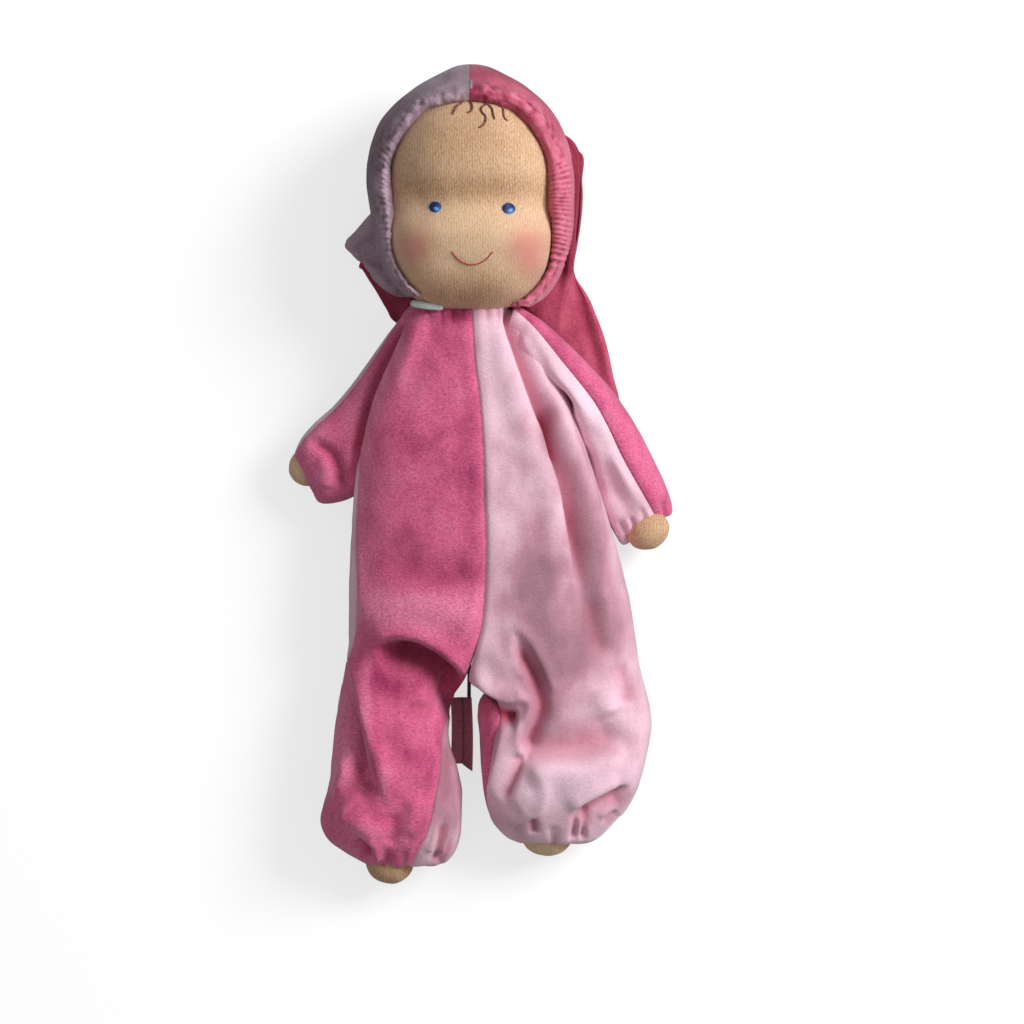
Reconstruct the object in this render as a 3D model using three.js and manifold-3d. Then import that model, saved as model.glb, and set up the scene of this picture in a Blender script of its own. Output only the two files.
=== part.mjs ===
// A soft hooded baby doll lying on its back: velour romper and long pointed hood in two pinks,
// knit head, hands and feet. Millimetres, +Z up out of the face, +Y towards the hood.
// The origin lies under the belly, on the flat of the back. The doll's right is -X.
import * as THREE from 'three';
import { mergeVertices } from 'three/addons/utils/BufferGeometryUtils.js';
import Module from 'manifold-3d';

const wasm = await Module();
wasm.setup();

// Cloth and clearances
const cloth = 1.6;
const jersey = 0.9;
const fit = 0.3;
const jointFit = 0.5;
const softFit = 0.55;
const armFit = 0.8;
const restFlat = 0.5;
const threadRadius = 0.5;
const seamAngle = 0.02;
const flatAngle = 0.1;

// Torso
const neckLine = 61;
const hipLine = -58;
const bellyDepth = 42;
const hipReachRight = 44;
const hipReachLeft = 59;

// Arms
const shoulderOut = 22;
const shoulderLine = 51;
const shoulderRadius = 9;
const shoulderRise = 27;
const shoulderDepth = 20;
const armSwing = 0.555;
const armLengthRight = 60;
const armLengthLeft = 80;
const cuffWidthRight = 27;
const cuffWidthLeft = 28;
const armBowRight = 1;
const armBowLeft = 7;
const handRadius = 8;
const handSeatShare = 1.1;

// Legs
const hipRadius = 12;
const hipRise = 29;
const legGap = 3.6;
const legLengthRight = 83;
const legLengthLeft = 73.5;
const legWidthRight = 43;
const legWidthLeft = 54;
const legMiddle = -0.3;
const footRadius = 9;
const footSeatShare = 1.7;

// Head and hood
const headWidth = 62;
const headHeight = 80;
const headDepth = 60;
const headSinkShare = 0.98;
const chinLine = 63.5;
const neckRadius = 8;
const faceWidth = 56;
const faceTop = 139;
const hoodWidth = 74.5;
const hoodTop = 152.4;
const napeRise = 5;
const rimRadius = 3.6;
const tailThickness = 4;
const tailLength = 118;
const tailWidth = 91;
const tailTurn = 0.53;
const tailBaseLine = 109;
const tailBow = -3;

// Face
const eyeOut = 13.4;
const eyeLine = 99.6;
const eyeRadius = 2.3;
const eyeDome = 0.9;
const mouthOut = 7.4;
const mouthLine = 84;
const mouthDrop = 4.7;
const faceThread = 0.35;
const hairThread = 0.4;

// Tag and tape
const tagLength = 24.6;
const tagWidth = 8.6;
const tagLeaf = 0.6;
const tagSpread = 3;
const tagLine = -81.5;
const cordDiameter = 1.4;
const tapeLength = 11;
const tapeWidth = 3;
const tapeDepth = 0.8;
const tapeInner = 1.2;

// Mesh fineness
const roundSides = 20;
const quarterColumns = 6;
const frontColumns = 10;
const threadSides = 6;

const finishes = {
  darkVelour: { color: 0xcd5078, roughness: 0.95, metalness: 0 },
  paleVelour: { color: 0xe1b4cd, roughness: 0.95, metalness: 0 },
  knit: { color: 0xcdaa82, roughness: 0.9, metalness: 0 },
  wool: { color: 0xe9e2d2, roughness: 1, metalness: 0 },
  thread: { color: 0xd8c8ae, roughness: 0.8, metalness: 0 },
  navy: { color: 0x14326e, roughness: 0.6, metalness: 0 },
  red: { color: 0xb9463c, roughness: 0.8, metalness: 0 },
  brown: { color: 0x552d23, roughness: 0.8, metalness: 0 },
  mint: { color: 0x96a596, roughness: 0.7, metalness: 0 },
  tag: { color: 0x5f3246, roughness: 0.6, metalness: 0 },
  cord: { color: 0x241418, roughness: 0.8, metalness: 0 },
};

const doll = new THREE.Group();
const quarter = Math.PI / 2;

// Closed solids

function signedVolume(geometry) {
  const place = geometry.getAttribute('position');
  const index = geometry.getIndex();
  const corners = [0, 1, 2].map(() => new THREE.Vector3());
  let volume = 0;
  for (let i = 0; i < index.count; i += 3) {
    corners.forEach((corner, k) => corner.fromBufferAttribute(place, index.getX(i + k)));
    volume += corners[0].dot(corners[1].cross(corners[2])) / 6;
  }
  return volume;
}

// Keeps the positions alone, merges the shared ones and turns the faces outwards
function closed(geometry) {
  geometry.deleteAttribute('normal');
  geometry.deleteAttribute('uv');
  const merged = mergeVertices(geometry, 1e-4);
  if (signedVolume(merged) < 0) {
    const index = merged.getIndex();
    for (let i = 0; i < index.count; i += 3) {
      const first = index.getX(i);
      index.setX(i, index.getX(i + 1));
      index.setX(i + 1, first);
    }
  }
  return merged;
}

function fromFaces(points, faces) {
  const geometry = new THREE.BufferGeometry();
  geometry.setAttribute('position', new THREE.Float32BufferAttribute(points.flat(), 3));
  geometry.setIndex(faces.flat());
  return closed(geometry);
}

function add(name, geometry, finish, parent = doll) {
  const material = new THREE.MeshStandardMaterial(finishes[finish]);
  const mesh = new THREE.Mesh(closed(geometry), material);
  mesh.name = name;
  parent.add(mesh);
  return mesh;
}

function toManifold(geometry) {
  const merged = closed(geometry.clone());
  const vertProperties = new Float32Array(merged.getAttribute('position').array);
  const triVerts = new Uint32Array(merged.getIndex().array);
  return new wasm.Manifold(new wasm.Mesh({ numProp: 3, vertProperties, triVerts }));
}

function cut(geometry, ...cutters) {
  const body = cutters.reduce((left, cutter) => left.subtract(toManifold(cutter)), toManifold(geometry));
  const mesh = body.getMesh();
  const result = new THREE.BufferGeometry();
  result.setAttribute('position', new THREE.BufferAttribute(mesh.vertProperties, 3));
  result.setIndex(new THREE.BufferAttribute(mesh.triVerts, 1));
  return result;
}

// A row of shares read smoothly along a form, each row being [along, value, value, ...]
function readShares(rows, along) {
  const last = rows.length - 1;
  const at = THREE.MathUtils.clamp(along, rows[0][0], rows[last][0]);
  const i = Math.min(rows.findLastIndex((row) => row[0] <= at), last - 1);
  const before = rows[Math.max(i - 1, 0)];
  const after = rows[Math.min(i + 2, last)];
  const [low, high] = [rows[i], rows[i + 1]];
  const span = high[0] - low[0];
  const t = (at - low[0]) / span;
  return low.slice(1).map((value, k) => {
    const next = high[k + 1];
    const slopeIn = ((next - before[k + 1]) / (high[0] - before[0])) * span;
    const slopeOut = ((after[k + 1] - value) / (after[0] - low[0])) * span;
    const [t2, t3] = [t * t, t * t * t];
    return value * (2 * t3 - 3 * t2 + 1) + slopeIn * (t3 - 2 * t2 + t)
      + next * (3 * t2 - 2 * t3) + slopeOut * (t3 - t2);
  });
}

// One point of a section: a squared oval in X and Z, pressed flat at its floor
function onSection(section, angle) {
  const power = 2 / section.square;
  const [c, s] = [Math.cos(angle), Math.sin(angle)];
  const x = section.side + section.halfWidth * Math.sign(c) * Math.abs(c) ** power;
  const fold = section.fold ? section.fold(x) * Math.max(s, 0) ** 2 : 0;
  const z = section.rise + section.halfDepth * Math.sign(s) * Math.abs(s) ** power + fold;
  const y = section.along + (section.lean ? section.lean(Math.max(z, section.floor)) : 0);
  return [x, y, Math.max(z, section.floor)];
}

// A closed form through a list of whole sections, closed by a middle point at each end
function wholeForm(sections, sides = roundSides, angles = steps(0, 2 * Math.PI, sides)) {
  const points = [];
  const faces = [];
  sections.forEach((section) => {
    for (let j = 0; j < sides; j += 1) {
      points.push(onSection(section, angles[j]));
    }
  });
  for (let i = 0; i + 1 < sections.length; i += 1) {
    for (let j = 0; j < sides; j += 1) {
      const [a, b] = [i * sides + j, i * sides + ((j + 1) % sides)];
      faces.push([a, b, b + sides], [a, b + sides, a + sides]);
    }
  }
  [0, sections.length - 1].forEach((i) => {
    const { side, along, rise, lean } = sections[i];
    const middle = points.push([side, along + (lean ? lean(rise) : 0), rise]) - 1;
    for (let j = 0; j < sides; j += 1) {
      const face = [middle, i * sides + ((j + 1) % sides), i * sides + j];
      faces.push(i === 0 ? face : face.reverse());
    }
  });
  return fromFaces(points, faces);
}

// A closed patch of cloth between an outer and an inner net of points with equal rows and columns
function clothPatch(outer, inner) {
  const [rows, columns] = [outer.length, outer[0].length];
  const points = [...outer.flat(), ...inner.flat()];
  const faces = [];
  const quad = (a, b, c, d) => faces.push([a, b, c], [a, c, d]);
  const out = (i, j) => i * columns + j;
  const back = (i, j) => rows * columns + i * columns + j;
  for (let i = 0; i + 1 < rows; i += 1) {
    for (let j = 0; j + 1 < columns; j += 1) {
      quad(out(i, j), out(i, j + 1), out(i + 1, j + 1), out(i + 1, j));
      quad(back(i, j), back(i + 1, j), back(i + 1, j + 1), back(i, j + 1));
    }
    quad(out(i, 0), out(i + 1, 0), back(i + 1, 0), back(i, 0));
    quad(out(i, columns - 1), back(i, columns - 1), back(i + 1, columns - 1), out(i + 1, columns - 1));
  }
  for (let j = 0; j + 1 < columns; j += 1) {
    quad(out(0, j), back(0, j), back(0, j + 1), out(0, j + 1));
    quad(out(rows - 1, j), out(rows - 1, j + 1), back(rows - 1, j + 1), back(rows - 1, j));
  }
  return fromFaces(points, faces);
}

function steps(from, to, count) {
  return Array.from({ length: count + 1 }, (_, i) => from + ((to - from) * i) / count);
}

function panel(sectionAt, stations, angles) {
  const net = (inset) => stations.map((at) => (
    angles.map((angle) => onSection(sectionAt(at, inset), angle))));
  return clothPatch(net(0), net(cloth));
}

// A closed ring or an open round bar along a smooth curve
function ringAlong(points, radius, segments) {
  const curve = new THREE.CatmullRomCurve3(points, true);
  return new THREE.TubeGeometry(curve, segments, radius, threadSides, true);
}

function barAlong(points, radius, segments, sides = threadSides) {
  const shape = new THREE.Shape();
  for (let j = 0; j < sides; j += 1) {
    const angle = (2 * Math.PI * j) / sides;
    const [x, y] = [radius * Math.cos(angle), radius * Math.sin(angle)];
    if (j === 0) {
      shape.moveTo(x, y);
    } else {
      shape.lineTo(x, y);
    }
  }
  const curve = new THREE.CatmullRomCurve3(points, false);
  return new THREE.ExtrudeGeometry(shape, { steps: segments, extrudePath: curve, bevelEnabled: false });
}

// The filling of a limb follows the rows of its cloth and is drawn in at its end
function limbFilling(at, caps, stations, stop) {
  const inner = cloth + softFit;
  const rows = stations.filter((along) => along >= 0 && along < stop - inner);
  const sections = [...caps, ...rows].map((along) => at(along, inner));
  return wholeForm([...sections, at(stop, inner * 1.6)]);
}

// Arms, each in a group at its shoulder with the arm along -Y of the group

const armShareRows = [
  // along, width, depth, rise, bow
  [0, 0, 1, 1, 0],
  [0.2, 0.2, 1.03, 0.97, 0.62],
  [0.4, 0.45, 1.08, 0.88, 0.96],
  [0.6, 0.7, 1.12, 0.74, 1],
  [0.8, 0.92, 1.16, 0.55, 0.66],
  [0.93, 1, 1.12, 0.43, 0.24],
  [1, 0.8, 0.92, 0.4, 0],
];

const arms = {
  right: { mirror: -1, length: armLengthRight, cuff: cuffWidthRight, bow: armBowRight },
  left: { mirror: 1, length: armLengthLeft, cuff: cuffWidthLeft, bow: armBowLeft },
};

// Past the shoulder the arm is round about its upright axis, so that it swings in its place
function armSection(arm, along, inset) {
  const reach = shoulderRadius - inset;
  const [width, depth, rise, bow] = readShares(armShareRows, Math.max(along, 0) / arm.length);
  const round = along < 0 ? Math.sqrt(Math.max(reach ** 2 - along ** 2, 0)) / reach : 1;
  const halfWidth = shoulderRadius + width * (arm.cuff / 2 - shoulderRadius) - inset;
  return {
    along: -along,
    side: arm.mirror * bow * arm.bow,
    halfWidth: halfWidth * round,
    halfDepth: ((shoulderDepth / 2) * depth - inset) * Math.sqrt(round),
    rise: shoulderRise * rise,
    floor: inset,
    square: 2.2,
  };
}

function armPlace(arm) {
  return new THREE.Vector3(arm.mirror * shoulderOut, shoulderLine, 0);
}

// The arm's inner edge in plan, as points of the doll
function armInnerEdge(arm) {
  const turn = new THREE.Matrix4().makeRotationZ(arm.mirror * armSwing);
  return steps(-shoulderRadius * 0.98, arm.length, 30).map((along) => {
    const section = armSection(arm, along, 0);
    const x = section.side - arm.mirror * section.halfWidth;
    return new THREE.Vector3(x, section.along, 0).applyMatrix4(turn).add(armPlace(arm));
  });
}

// How far out the torso may reach at a height y before it meets the arm
function roomBesideArm(arm, y) {
  const edge = armInnerEdge(arm);
  const reaches = [];
  for (let i = 0; i + 1 < edge.length; i += 1) {
    const [p, q] = [edge[i], edge[i + 1]];
    if ((p.y - y) * (q.y - y) <= 0 && p.y !== q.y) {
      reaches.push(arm.mirror * THREE.MathUtils.mapLinear(y, p.y, q.y, p.x, q.x));
    }
  }
  return reaches.length ? Math.min(...reaches) - armFit : Infinity;
}

// Torso

const torsoEnd = hipLine + hipRadius + jointFit;
const chestReach = shoulderOut - shoulderRadius - jointFit;

const torsoShareRows = [
  // from the neck to the hips: right reach, left reach, underside, front
  [0, 0, 0, 0.42, 1.07],
  [0.09, 0, 0, 0.35, 1.1],
  [0.16, 0.12, 0.09, 0.29, 1.1],
  [0.26, 0.34, 0.29, 0.21, 1.08],
  [0.345, 0.52, 0.44, 0.12, 1.07],
  [0.445, 0.8, 0.63, 0, 1.06],
  [0.58, 0.92, 0.79, 0, 1.05],
  [0.7, 0.98, 0.88, 0, 1.03],
  [0.85, 1, 0.97, 0, 1.02],
  [1, 1, 1, 0, 1],
];

const torsoFoldShareRows = [
  // from across and along, to across and along, lift of the depth, reach of the length
  [0.2, 0, 0.41, 0.31, -0.1, 0.045],
  [0.41, 0.31, 0.61, 0.59, -0.15, 0.045],
  [0.61, 0.59, 0.65, 0.74, -0.14, 0.045],
];

// The lower end is hollowed behind, round the top of the legs, and upright in front of them
function torsoLean(z, deep) {
  const below = Math.max(hipRise - z, 0) / (hipRise + jointFit + deep);
  const reach = hipRadius + jointFit + deep;
  return Math.max(Math.sqrt(Math.max(1 - below ** 2, 0)), 0.5) * reach - reach;
}

// How much the folds of the rows lift or sink the front cloth at one place
function foldLift(rows, across, along, width, length, depth) {
  const place = new THREE.Vector3(across, along, 0);
  const lifts = rows.map(([fromX, fromAlong, toX, toAlong, lift, reach]) => {
    const line = new THREE.Line3(
      new THREE.Vector3(fromX * width, fromAlong * length, 0),
      new THREE.Vector3(toX * width, toAlong * length, 0),
    );
    const near = line.closestPointToPoint(place, true, new THREE.Vector3());
    return lift * depth * Math.exp(-((near.distanceTo(place) / (reach * length)) ** 2));
  });
  return Math.max(...lifts, 0) + Math.min(...lifts, 0);
}

function torsoSection(along, inset) {
  const trunk = neckLine - hipLine;
  const share = (neckLine - along) / trunk;
  const [right, left, under, front] = readShares(torsoShareRows, share);
  const reachRight = chestReach + right * (hipReachRight - chestReach);
  const reachLeft = chestReach + left * (hipReachLeft - chestReach);
  const outRight = Math.min(reachRight, roomBesideArm(arms.right, along));
  const outLeft = Math.min(reachLeft, roomBesideArm(arms.left, along));
  const low = under * bellyDepth - restFlat;
  const high = front * bellyDepth;
  return {
    along,
    side: (outLeft - outRight) / 2,
    halfWidth: (outLeft + outRight) / 2 - inset,
    halfDepth: (high - low) / 2 - inset,
    rise: (high + low) / 2,
    floor: inset,
    square: 2.5,
    fold: (x) => foldLift(torsoFoldShareRows, x, neckLine - along, hipReachLeft, trunk, bellyDepth),
  };
}

const torsoStations = steps(neckLine, torsoEnd, 14);

function torsoRow(along, inset, deep = 0) {
  const share = (neckLine - along) / (neckLine - torsoEnd - deep);
  const section = torsoSection(along, inset);
  section.lean = (z) => share ** 4 * torsoLean(z, deep);
  return section;
}

function buildTorso() {
  const inner = cloth + softFit;
  const rows = steps(neckLine, torsoEnd + inner, torsoStations.length - 1);
  const filling = rows.map((along) => torsoRow(along, inner, inner));
  const behind = steps(Math.PI, 2 * Math.PI, quarterColumns * 2).slice(1, -1);
  const around = [...steps(0, Math.PI, frontColumns * 2), ...behind];
  add('torso_stuffing', wholeForm(filling, around.length, around), 'wool');
  const quarters = [
    ['romper_front_left', 0, 'paleVelour'],
    ['romper_front_right', 1, 'darkVelour'],
    ['romper_back_right', 2, 'paleVelour'],
    ['romper_back_left', 3, 'darkVelour'],
  ];
  quarters.forEach(([name, k, finish]) => {
    const [from, to] = [k * quarter + seamAngle, (k + 1) * quarter - seamAngle];
    const angles = steps(from, to, k < 2 ? frontColumns : quarterColumns);
    if (k === 2) {
      angles.splice(quarterColumns, 0, to - flatAngle);
    } else if (k === 3) {
      angles.splice(1, 0, from + flatAngle);
    }
    add(name, panel(torsoRow, torsoStations, angles), finish);
  });
}

// A knit ball with a waist for its tie and a gathered end, turned about its own axis
function knitBall(radius, stem) {
  const waist = radius * 0.45;
  const flare = radius * 0.62;
  const profile = [new THREE.Vector2(0, 0)];
  const bottom = Math.asin(waist / radius);
  steps(0, Math.PI - bottom, 6).slice(1).forEach((angle) => {
    profile.push(new THREE.Vector2(radius * Math.sin(angle), radius * (1 - Math.cos(angle))));
  });
  const neck = profile[profile.length - 1].y;
  profile.push(new THREE.Vector2(waist, neck + stem * 0.5));
  profile.push(new THREE.Vector2(flare, neck + stem));
  profile.push(new THREE.Vector2(0, neck + stem));
  const geometry = new THREE.LatheGeometry(profile, 12);
  return { geometry, length: neck + stem, neck: neck + stem * 0.25, waist };
}

// The ball stands at the end of its limb, with its tie round the waist
function addBall(limb, name, tie, radius, end, side, rise) {
  const stem = radius * 0.55;
  const ball = knitBall(radius, stem);
  const group = new THREE.Group();
  group.position.set(side, -end - ball.length, rise);
  limb.add(group);
  add(name, ball.geometry, 'knit', group);
  const ring = new THREE.TorusGeometry(ball.waist + threadRadius + fit, threadRadius, threadSides, 12);
  const mesh = add(tie, ring, 'thread', group);
  mesh.position.y = ball.neck;
  mesh.rotation.x = quarter;
}

function buildArm(side, frontFinish, backFinish) {
  const arm = arms[side];
  const group = new THREE.Group();
  group.position.copy(armPlace(arm));
  group.rotation.z = arm.mirror * armSwing;
  doll.add(group);
  const at = (along, inset) => armSection(arm, along, inset);
  const reach = shoulderRadius - cloth - softFit;
  const stop = arm.length - handRadius * handSeatShare;
  const caps = steps(1.3, 0.3, 3).map((angle) => -reach * Math.sin(angle));
  const opening = -shoulderRadius * 0.7;
  const stations = [opening, opening / 2, ...steps(0, arm.length, 8)];
  add(`arm_stuffing_${side}`, limbFilling(at, caps, stations, stop), 'wool', group);
  const front = steps(seamAngle * 2, Math.PI - seamAngle * 2, 8);
  add(`sleeve_front_${side}`, panel(at, stations, front), frontFinish, group);
  const back = front.map((angle) => angle + Math.PI);
  add(`sleeve_back_${side}`, panel(at, stations, back), backFinish, group);
  const last = at(arm.length, 0);
  addBall(group, `hand_${side}`, `wrist_tie_${side}`, handRadius, stop + fit, last.side, last.rise);
}

// Legs, each in a group at its hip with the leg along -Y of the group

const legShareRows = {
  // along, inner edge, outer edge, depth
  right: [
    [0, 0, 1, 1],
    [0.12, 0, 1.02, 0.85],
    [0.2, 0, 1.05, 0.87],
    [0.27, 0.07, 1.07, 0.9],
    [0.35, 0.12, 1.09, 0.92],
    [0.46, 0.12, 1.11, 0.93],
    [0.57, 0.06, 1.14, 0.91],
    [0.7, 0.02, 1.18, 0.89],
    [0.81, 0.02, 1.22, 0.87],
    [0.89, 0.04, 1.17, 0.82],
    [0.95, 0.1, 1.03, 0.72],
    [1, 0.24, 0.9, 0.56],
  ],
  left: [
    [0, 0, 1.08, 1],
    [0.12, 0, 1.12, 0.95],
    [0.24, 0, 1.165, 0.93],
    [0.35, 0.01, 1.2, 0.94],
    [0.42, 0.02, 1.205, 0.9],
    [0.5, 0.04, 1.19, 0.81],
    [0.58, 0.045, 1.17, 0.92],
    [0.67, 0.05, 1.15, 0.985],
    [0.77, 0.07, 1.105, 0.92],
    [0.86, 0.1, 1.04, 0.86],
    [0.93, 0.15, 0.95, 0.77],
    [1, 0.23, 0.83, 0.69],
  ],
};

const legFoldShareRows = {
  // from across and along, to across and along, lift of the depth, reach of the length
  right: [
    [0.84, 0.03, 0.5, 0.02, -0.16, 0.07],
    [0.62, 0, 0.36, 0.02, -0.29, 0.07],
    [0.3, 0.06, 0.12, 0.13, -0.15, 0.06],
    [1.02, 0.22, 1.02, 0.46, -0.16, 0.07],
    [1.02, 0.46, 0.88, 0.62, -0.12, 0.06],
    [0.83, 0.2, 0.8, 0.5, 0.04, 0.07],
  ],
  left: [
    [0.28, 0.02, 0.42, 0.25, -0.11, 0.06],
    [0.8, 0, 0.9, 0.36, -0.1, 0.12],
  ],
};

const legs = {
  right: { mirror: -1, length: legLengthRight, width: legWidthRight, rows: 14 },
  left: { mirror: 1, length: legLengthLeft, width: legWidthLeft, rows: 12 },
};

const hipDepth = hipRise + hipRadius;

function legFold(side, x, along) {
  const leg = legs[side];
  return foldLift(legFoldShareRows[side], leg.mirror * x, along, leg.width, leg.length, hipDepth);
}

// Past the hip line the leg is round about the line through both hips, so that it folds in its place
function legSection(side, along, inset) {
  const leg = legs[side];
  const reach = hipRadius - inset;
  const [inner, outer, depth] = readShares(legShareRows[side], Math.max(along, 0) / leg.length);
  const round = along < 0 ? Math.sqrt(Math.max(reach ** 2 - along ** 2, 0)) / reach : 1;
  const near = legGap / 2 + inner * leg.width;
  const far = legGap / 2 + outer * leg.width;
  const half = (hipDepth / 2) * depth;
  const middle = half + (hipDepth / 2 - half) * 0.3 - restFlat * Math.min(Math.max(along, 0) / hipRadius, 1);
  return {
    along: -along,
    side: (leg.mirror * (near + far)) / 2,
    halfWidth: ((far - near) / 2 - inset) * (0.8 + 0.2 * round),
    halfDepth: (half - inset) * round,
    rise: hipRise + (middle - hipRise) * round,
    floor: inset,
    square: 2.5,
    fold: along < 0 ? null : (x) => legFold(side, x, along),
  };
}

function buildLeg(side, frontFinish, backFinish) {
  const leg = legs[side];
  const group = new THREE.Group();
  group.position.set(legMiddle, hipLine, 0);
  doll.add(group);
  const at = (along, inset) => legSection(side, along, inset);
  const reach = hipRadius - cloth - softFit;
  const stop = leg.length - footRadius * footSeatShare;
  const caps = steps(1.4, 0.35, 3).map((angle) => -reach * Math.sin(angle));
  const rounds = steps(1.0, 0.25, 3).map((angle) => -hipRadius * Math.sin(angle));
  const stations = [...rounds, ...steps(0, leg.length, leg.rows)];
  add(`leg_stuffing_${side}`, limbFilling(at, caps, stations, stop), 'wool', group);
  const front = steps(0, Math.PI, 10);
  front[0] = seamAngle;
  front[10] = Math.PI - seamAngle;
  add(`leg_front_${side}`, panel(at, stations, front), frontFinish, group);
  const back = front.map((angle) => angle + Math.PI);
  add(`leg_back_${side}`, panel(at, stations, back), backFinish, group);
  const last = at(leg.length, 0);
  addBall(group, `foot_${side}`, `ankle_tie_${side}`, footRadius, stop + fit, last.side, last.rise);
}

// Head

const hoodFloor = tailThickness + jointFit;
const skinFloor = hoodFloor + cloth + fit;
const headMiddle = chinLine + headHeight / 2;
const headRise = skinFloor + (headDepth / 2) * headSinkShare;
const neckTurnLine = neckLine + neckRadius + fit;

const headShareRows = [
  // from the chin to the crown: width, depth
  [0, 0.8, 0.9],
  [0.12, 0.9, 0.96],
  [0.3, 1.0, 1.0],
  [0.42, 0.97, 0.97],
  [0.47, 0.96, 0.965],
  [0.6, 1.0, 1.0],
  [0.8, 0.98, 1.0],
  [1, 0.95, 0.97],
];

// The head swells at the cheeks and the forehead and is drawn in at the eye line
function headSection(polar, inset) {
  const share = (1 - Math.cos(polar)) / 2;
  const [width, depth] = readShares(headShareRows, share);
  const [round, halfHeight] = [Math.sin(polar), headHeight / 2 - inset];
  return {
    along: headMiddle - halfHeight * Math.cos(polar),
    side: 0,
    halfWidth: ((headWidth / 2) * width - inset) * round,
    halfDepth: ((headDepth / 2) * depth - inset) * round,
    rise: headRise,
    floor: skinFloor + inset,
    square: 2.05,
  };
}

// The point of the skin at a place of the face, moved out by a lift
function onFace(x, y, lift) {
  const polar = Math.acos(THREE.MathUtils.clamp((headMiddle - y) / (headHeight / 2), -1, 1));
  const { halfWidth, halfDepth, square } = headSection(polar, 0);
  const across = Math.min(Math.abs(x) / halfWidth, 1) ** square;
  const z = headRise + halfDepth * (1 - across) ** (1 / square);
  const out = new THREE.Vector3(x / halfWidth ** 2, 0, (z - headRise) / halfDepth ** 2);
  out.y = (y - headMiddle) / (headHeight / 2) ** 2;
  out.normalize();
  return { place: new THREE.Vector3(x, y, z).addScaledVector(out, lift), out };
}

function buildNeck() {
  const profile = steps(0, Math.PI, 8).map((angle) => new THREE.Vector2(
    neckRadius * Math.sin(angle),
    -neckRadius * Math.cos(angle),
  ));
  const ball = add('neck_stuffing', new THREE.LatheGeometry(profile, 16), 'wool');
  ball.position.set(0, neckTurnLine, headRise);
}

const tieRadius = neckRadius + jointFit + threadRadius;
const neckHole = tieRadius + threadRadius + fit;

function neckCutter(radius) {
  const length = neckTurnLine - chinLine + neckRadius * 2;
  const geometry = new THREE.SphereGeometry(radius, 16, 12);
  geometry.translate(0, neckTurnLine, headRise);
  const shaft = new THREE.CylinderGeometry(radius, radius, length, 16);
  shaft.translate(0, neckTurnLine - length / 2, headRise);
  return [geometry, shaft];
}

function buildHead() {
  const polars = steps(0.14, Math.PI - 0.14, 13);
  const shell = (inset) => wholeForm(polars.map((polar) => headSection(polar, inset)));
  add('head_skin', cut(shell(0), shell(jersey), ...neckCutter(neckHole)), 'knit');
  const eyePolar = Math.acos((headMiddle - eyeLine) / (headHeight / 2));
  const groove = (lift) => steps(0, 2 * Math.PI, 24).slice(1).map((angle) => {
    const section = headSection(eyePolar, jersey + fit + threadRadius + lift);
    return new THREE.Vector3(...onSection(section, angle));
  });
  const bed = ringAlong(groove(0), threadRadius + fit, 36);
  add('head_stuffing', cut(shell(jersey + fit), bed, ...neckCutter(neckHole + fit)), 'wool');
  add('eye_line_thread', ringAlong(groove(0), threadRadius * 0.9, 36), 'thread');
  const collar = new THREE.TorusGeometry(tieRadius, threadRadius, threadSides, 18);
  const tie = add('neck_tie', collar, 'thread');
  tie.rotation.x = quarter;
  tie.position.set(0, neckTurnLine - neckRadius * 0.2, headRise);
}

function buildFace() {
  ['right', 'left'].forEach((side, k) => {
    const x = (k ? 1 : -1) * eyeOut;
    const { place, out } = onFace(x, eyeLine, fit * 1.5);
    const dome = new THREE.SphereGeometry(eyeRadius, 12, 5, 0, 2 * Math.PI, 0, quarter);
    dome.scale(1, eyeDome / eyeRadius, 1);
    const flat = new THREE.CircleGeometry(eyeRadius, 12);
    flat.rotateX(quarter);
    const joined = joinOpen(dome, flat);
    const eye = add(`eye_${side}`, joined, 'navy');
    eye.quaternion.setFromUnitVectors(new THREE.Vector3(0, 1, 0), out);
    eye.position.copy(place);
  });
  const smile = steps(-1, 1, 8).map((t) => {
    const y = mouthLine - mouthDrop * (1 - t * t);
    return onFace(mouthOut * t, y, faceThread + fit * 1.5).place;
  });
  add('mouth_stitch', barAlong(smile, faceThread, 14), 'red');
}

// Two open surfaces that share an edge, joined into one closed body
function joinOpen(first, second) {
  const points = [];
  const faces = [];
  [first, second].forEach((geometry) => {
    const place = geometry.getAttribute('position');
    const start = points.length;
    for (let i = 0; i < place.count; i += 1) {
      points.push([place.getX(i), place.getY(i), place.getZ(i)]);
    }
    const index = geometry.getIndex();
    for (let i = 0; i < index.count; i += 3) {
      faces.push([0, 1, 2].map((k) => start + index.getX(i + k)));
    }
  });
  return fromFaces(points, faces);
}

const hairShareRows = [
  // across the face and down from the edge of the hood
  [[-0.045, 0.06], [-0.075, 0.07], [-0.11, 0.085]],
  [[0.005, 0.06], [0.012, 0.075], [-0.02, 0.085]],
  [[0.1, 0.06], [0.07, 0.075], [0.098, 0.1], [0.06, 0.135]],
  [[0.135, 0.062], [0.15, 0.075], [0.162, 0.1]],
  [[0.19, 0.066], [0.225, 0.08], [0.225, 0.095], [0.25, 0.11]],
];

function buildHair() {
  hairShareRows.forEach((strand, k) => {
    const route = strand.map(([across, down]) => {
      const [x, y] = [across * faceWidth, faceTop - down * headHeight];
      return onFace(x, y, hairThread + fit * 1.5).place;
    });
    add(`hair_strand_${k + 1}`, barAlong(route, hairThread, 6), 'brown');
  });
}

// Hood

const hoodStart = chinLine + napeRise;
const rimEndAngle = 2.5;

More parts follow.
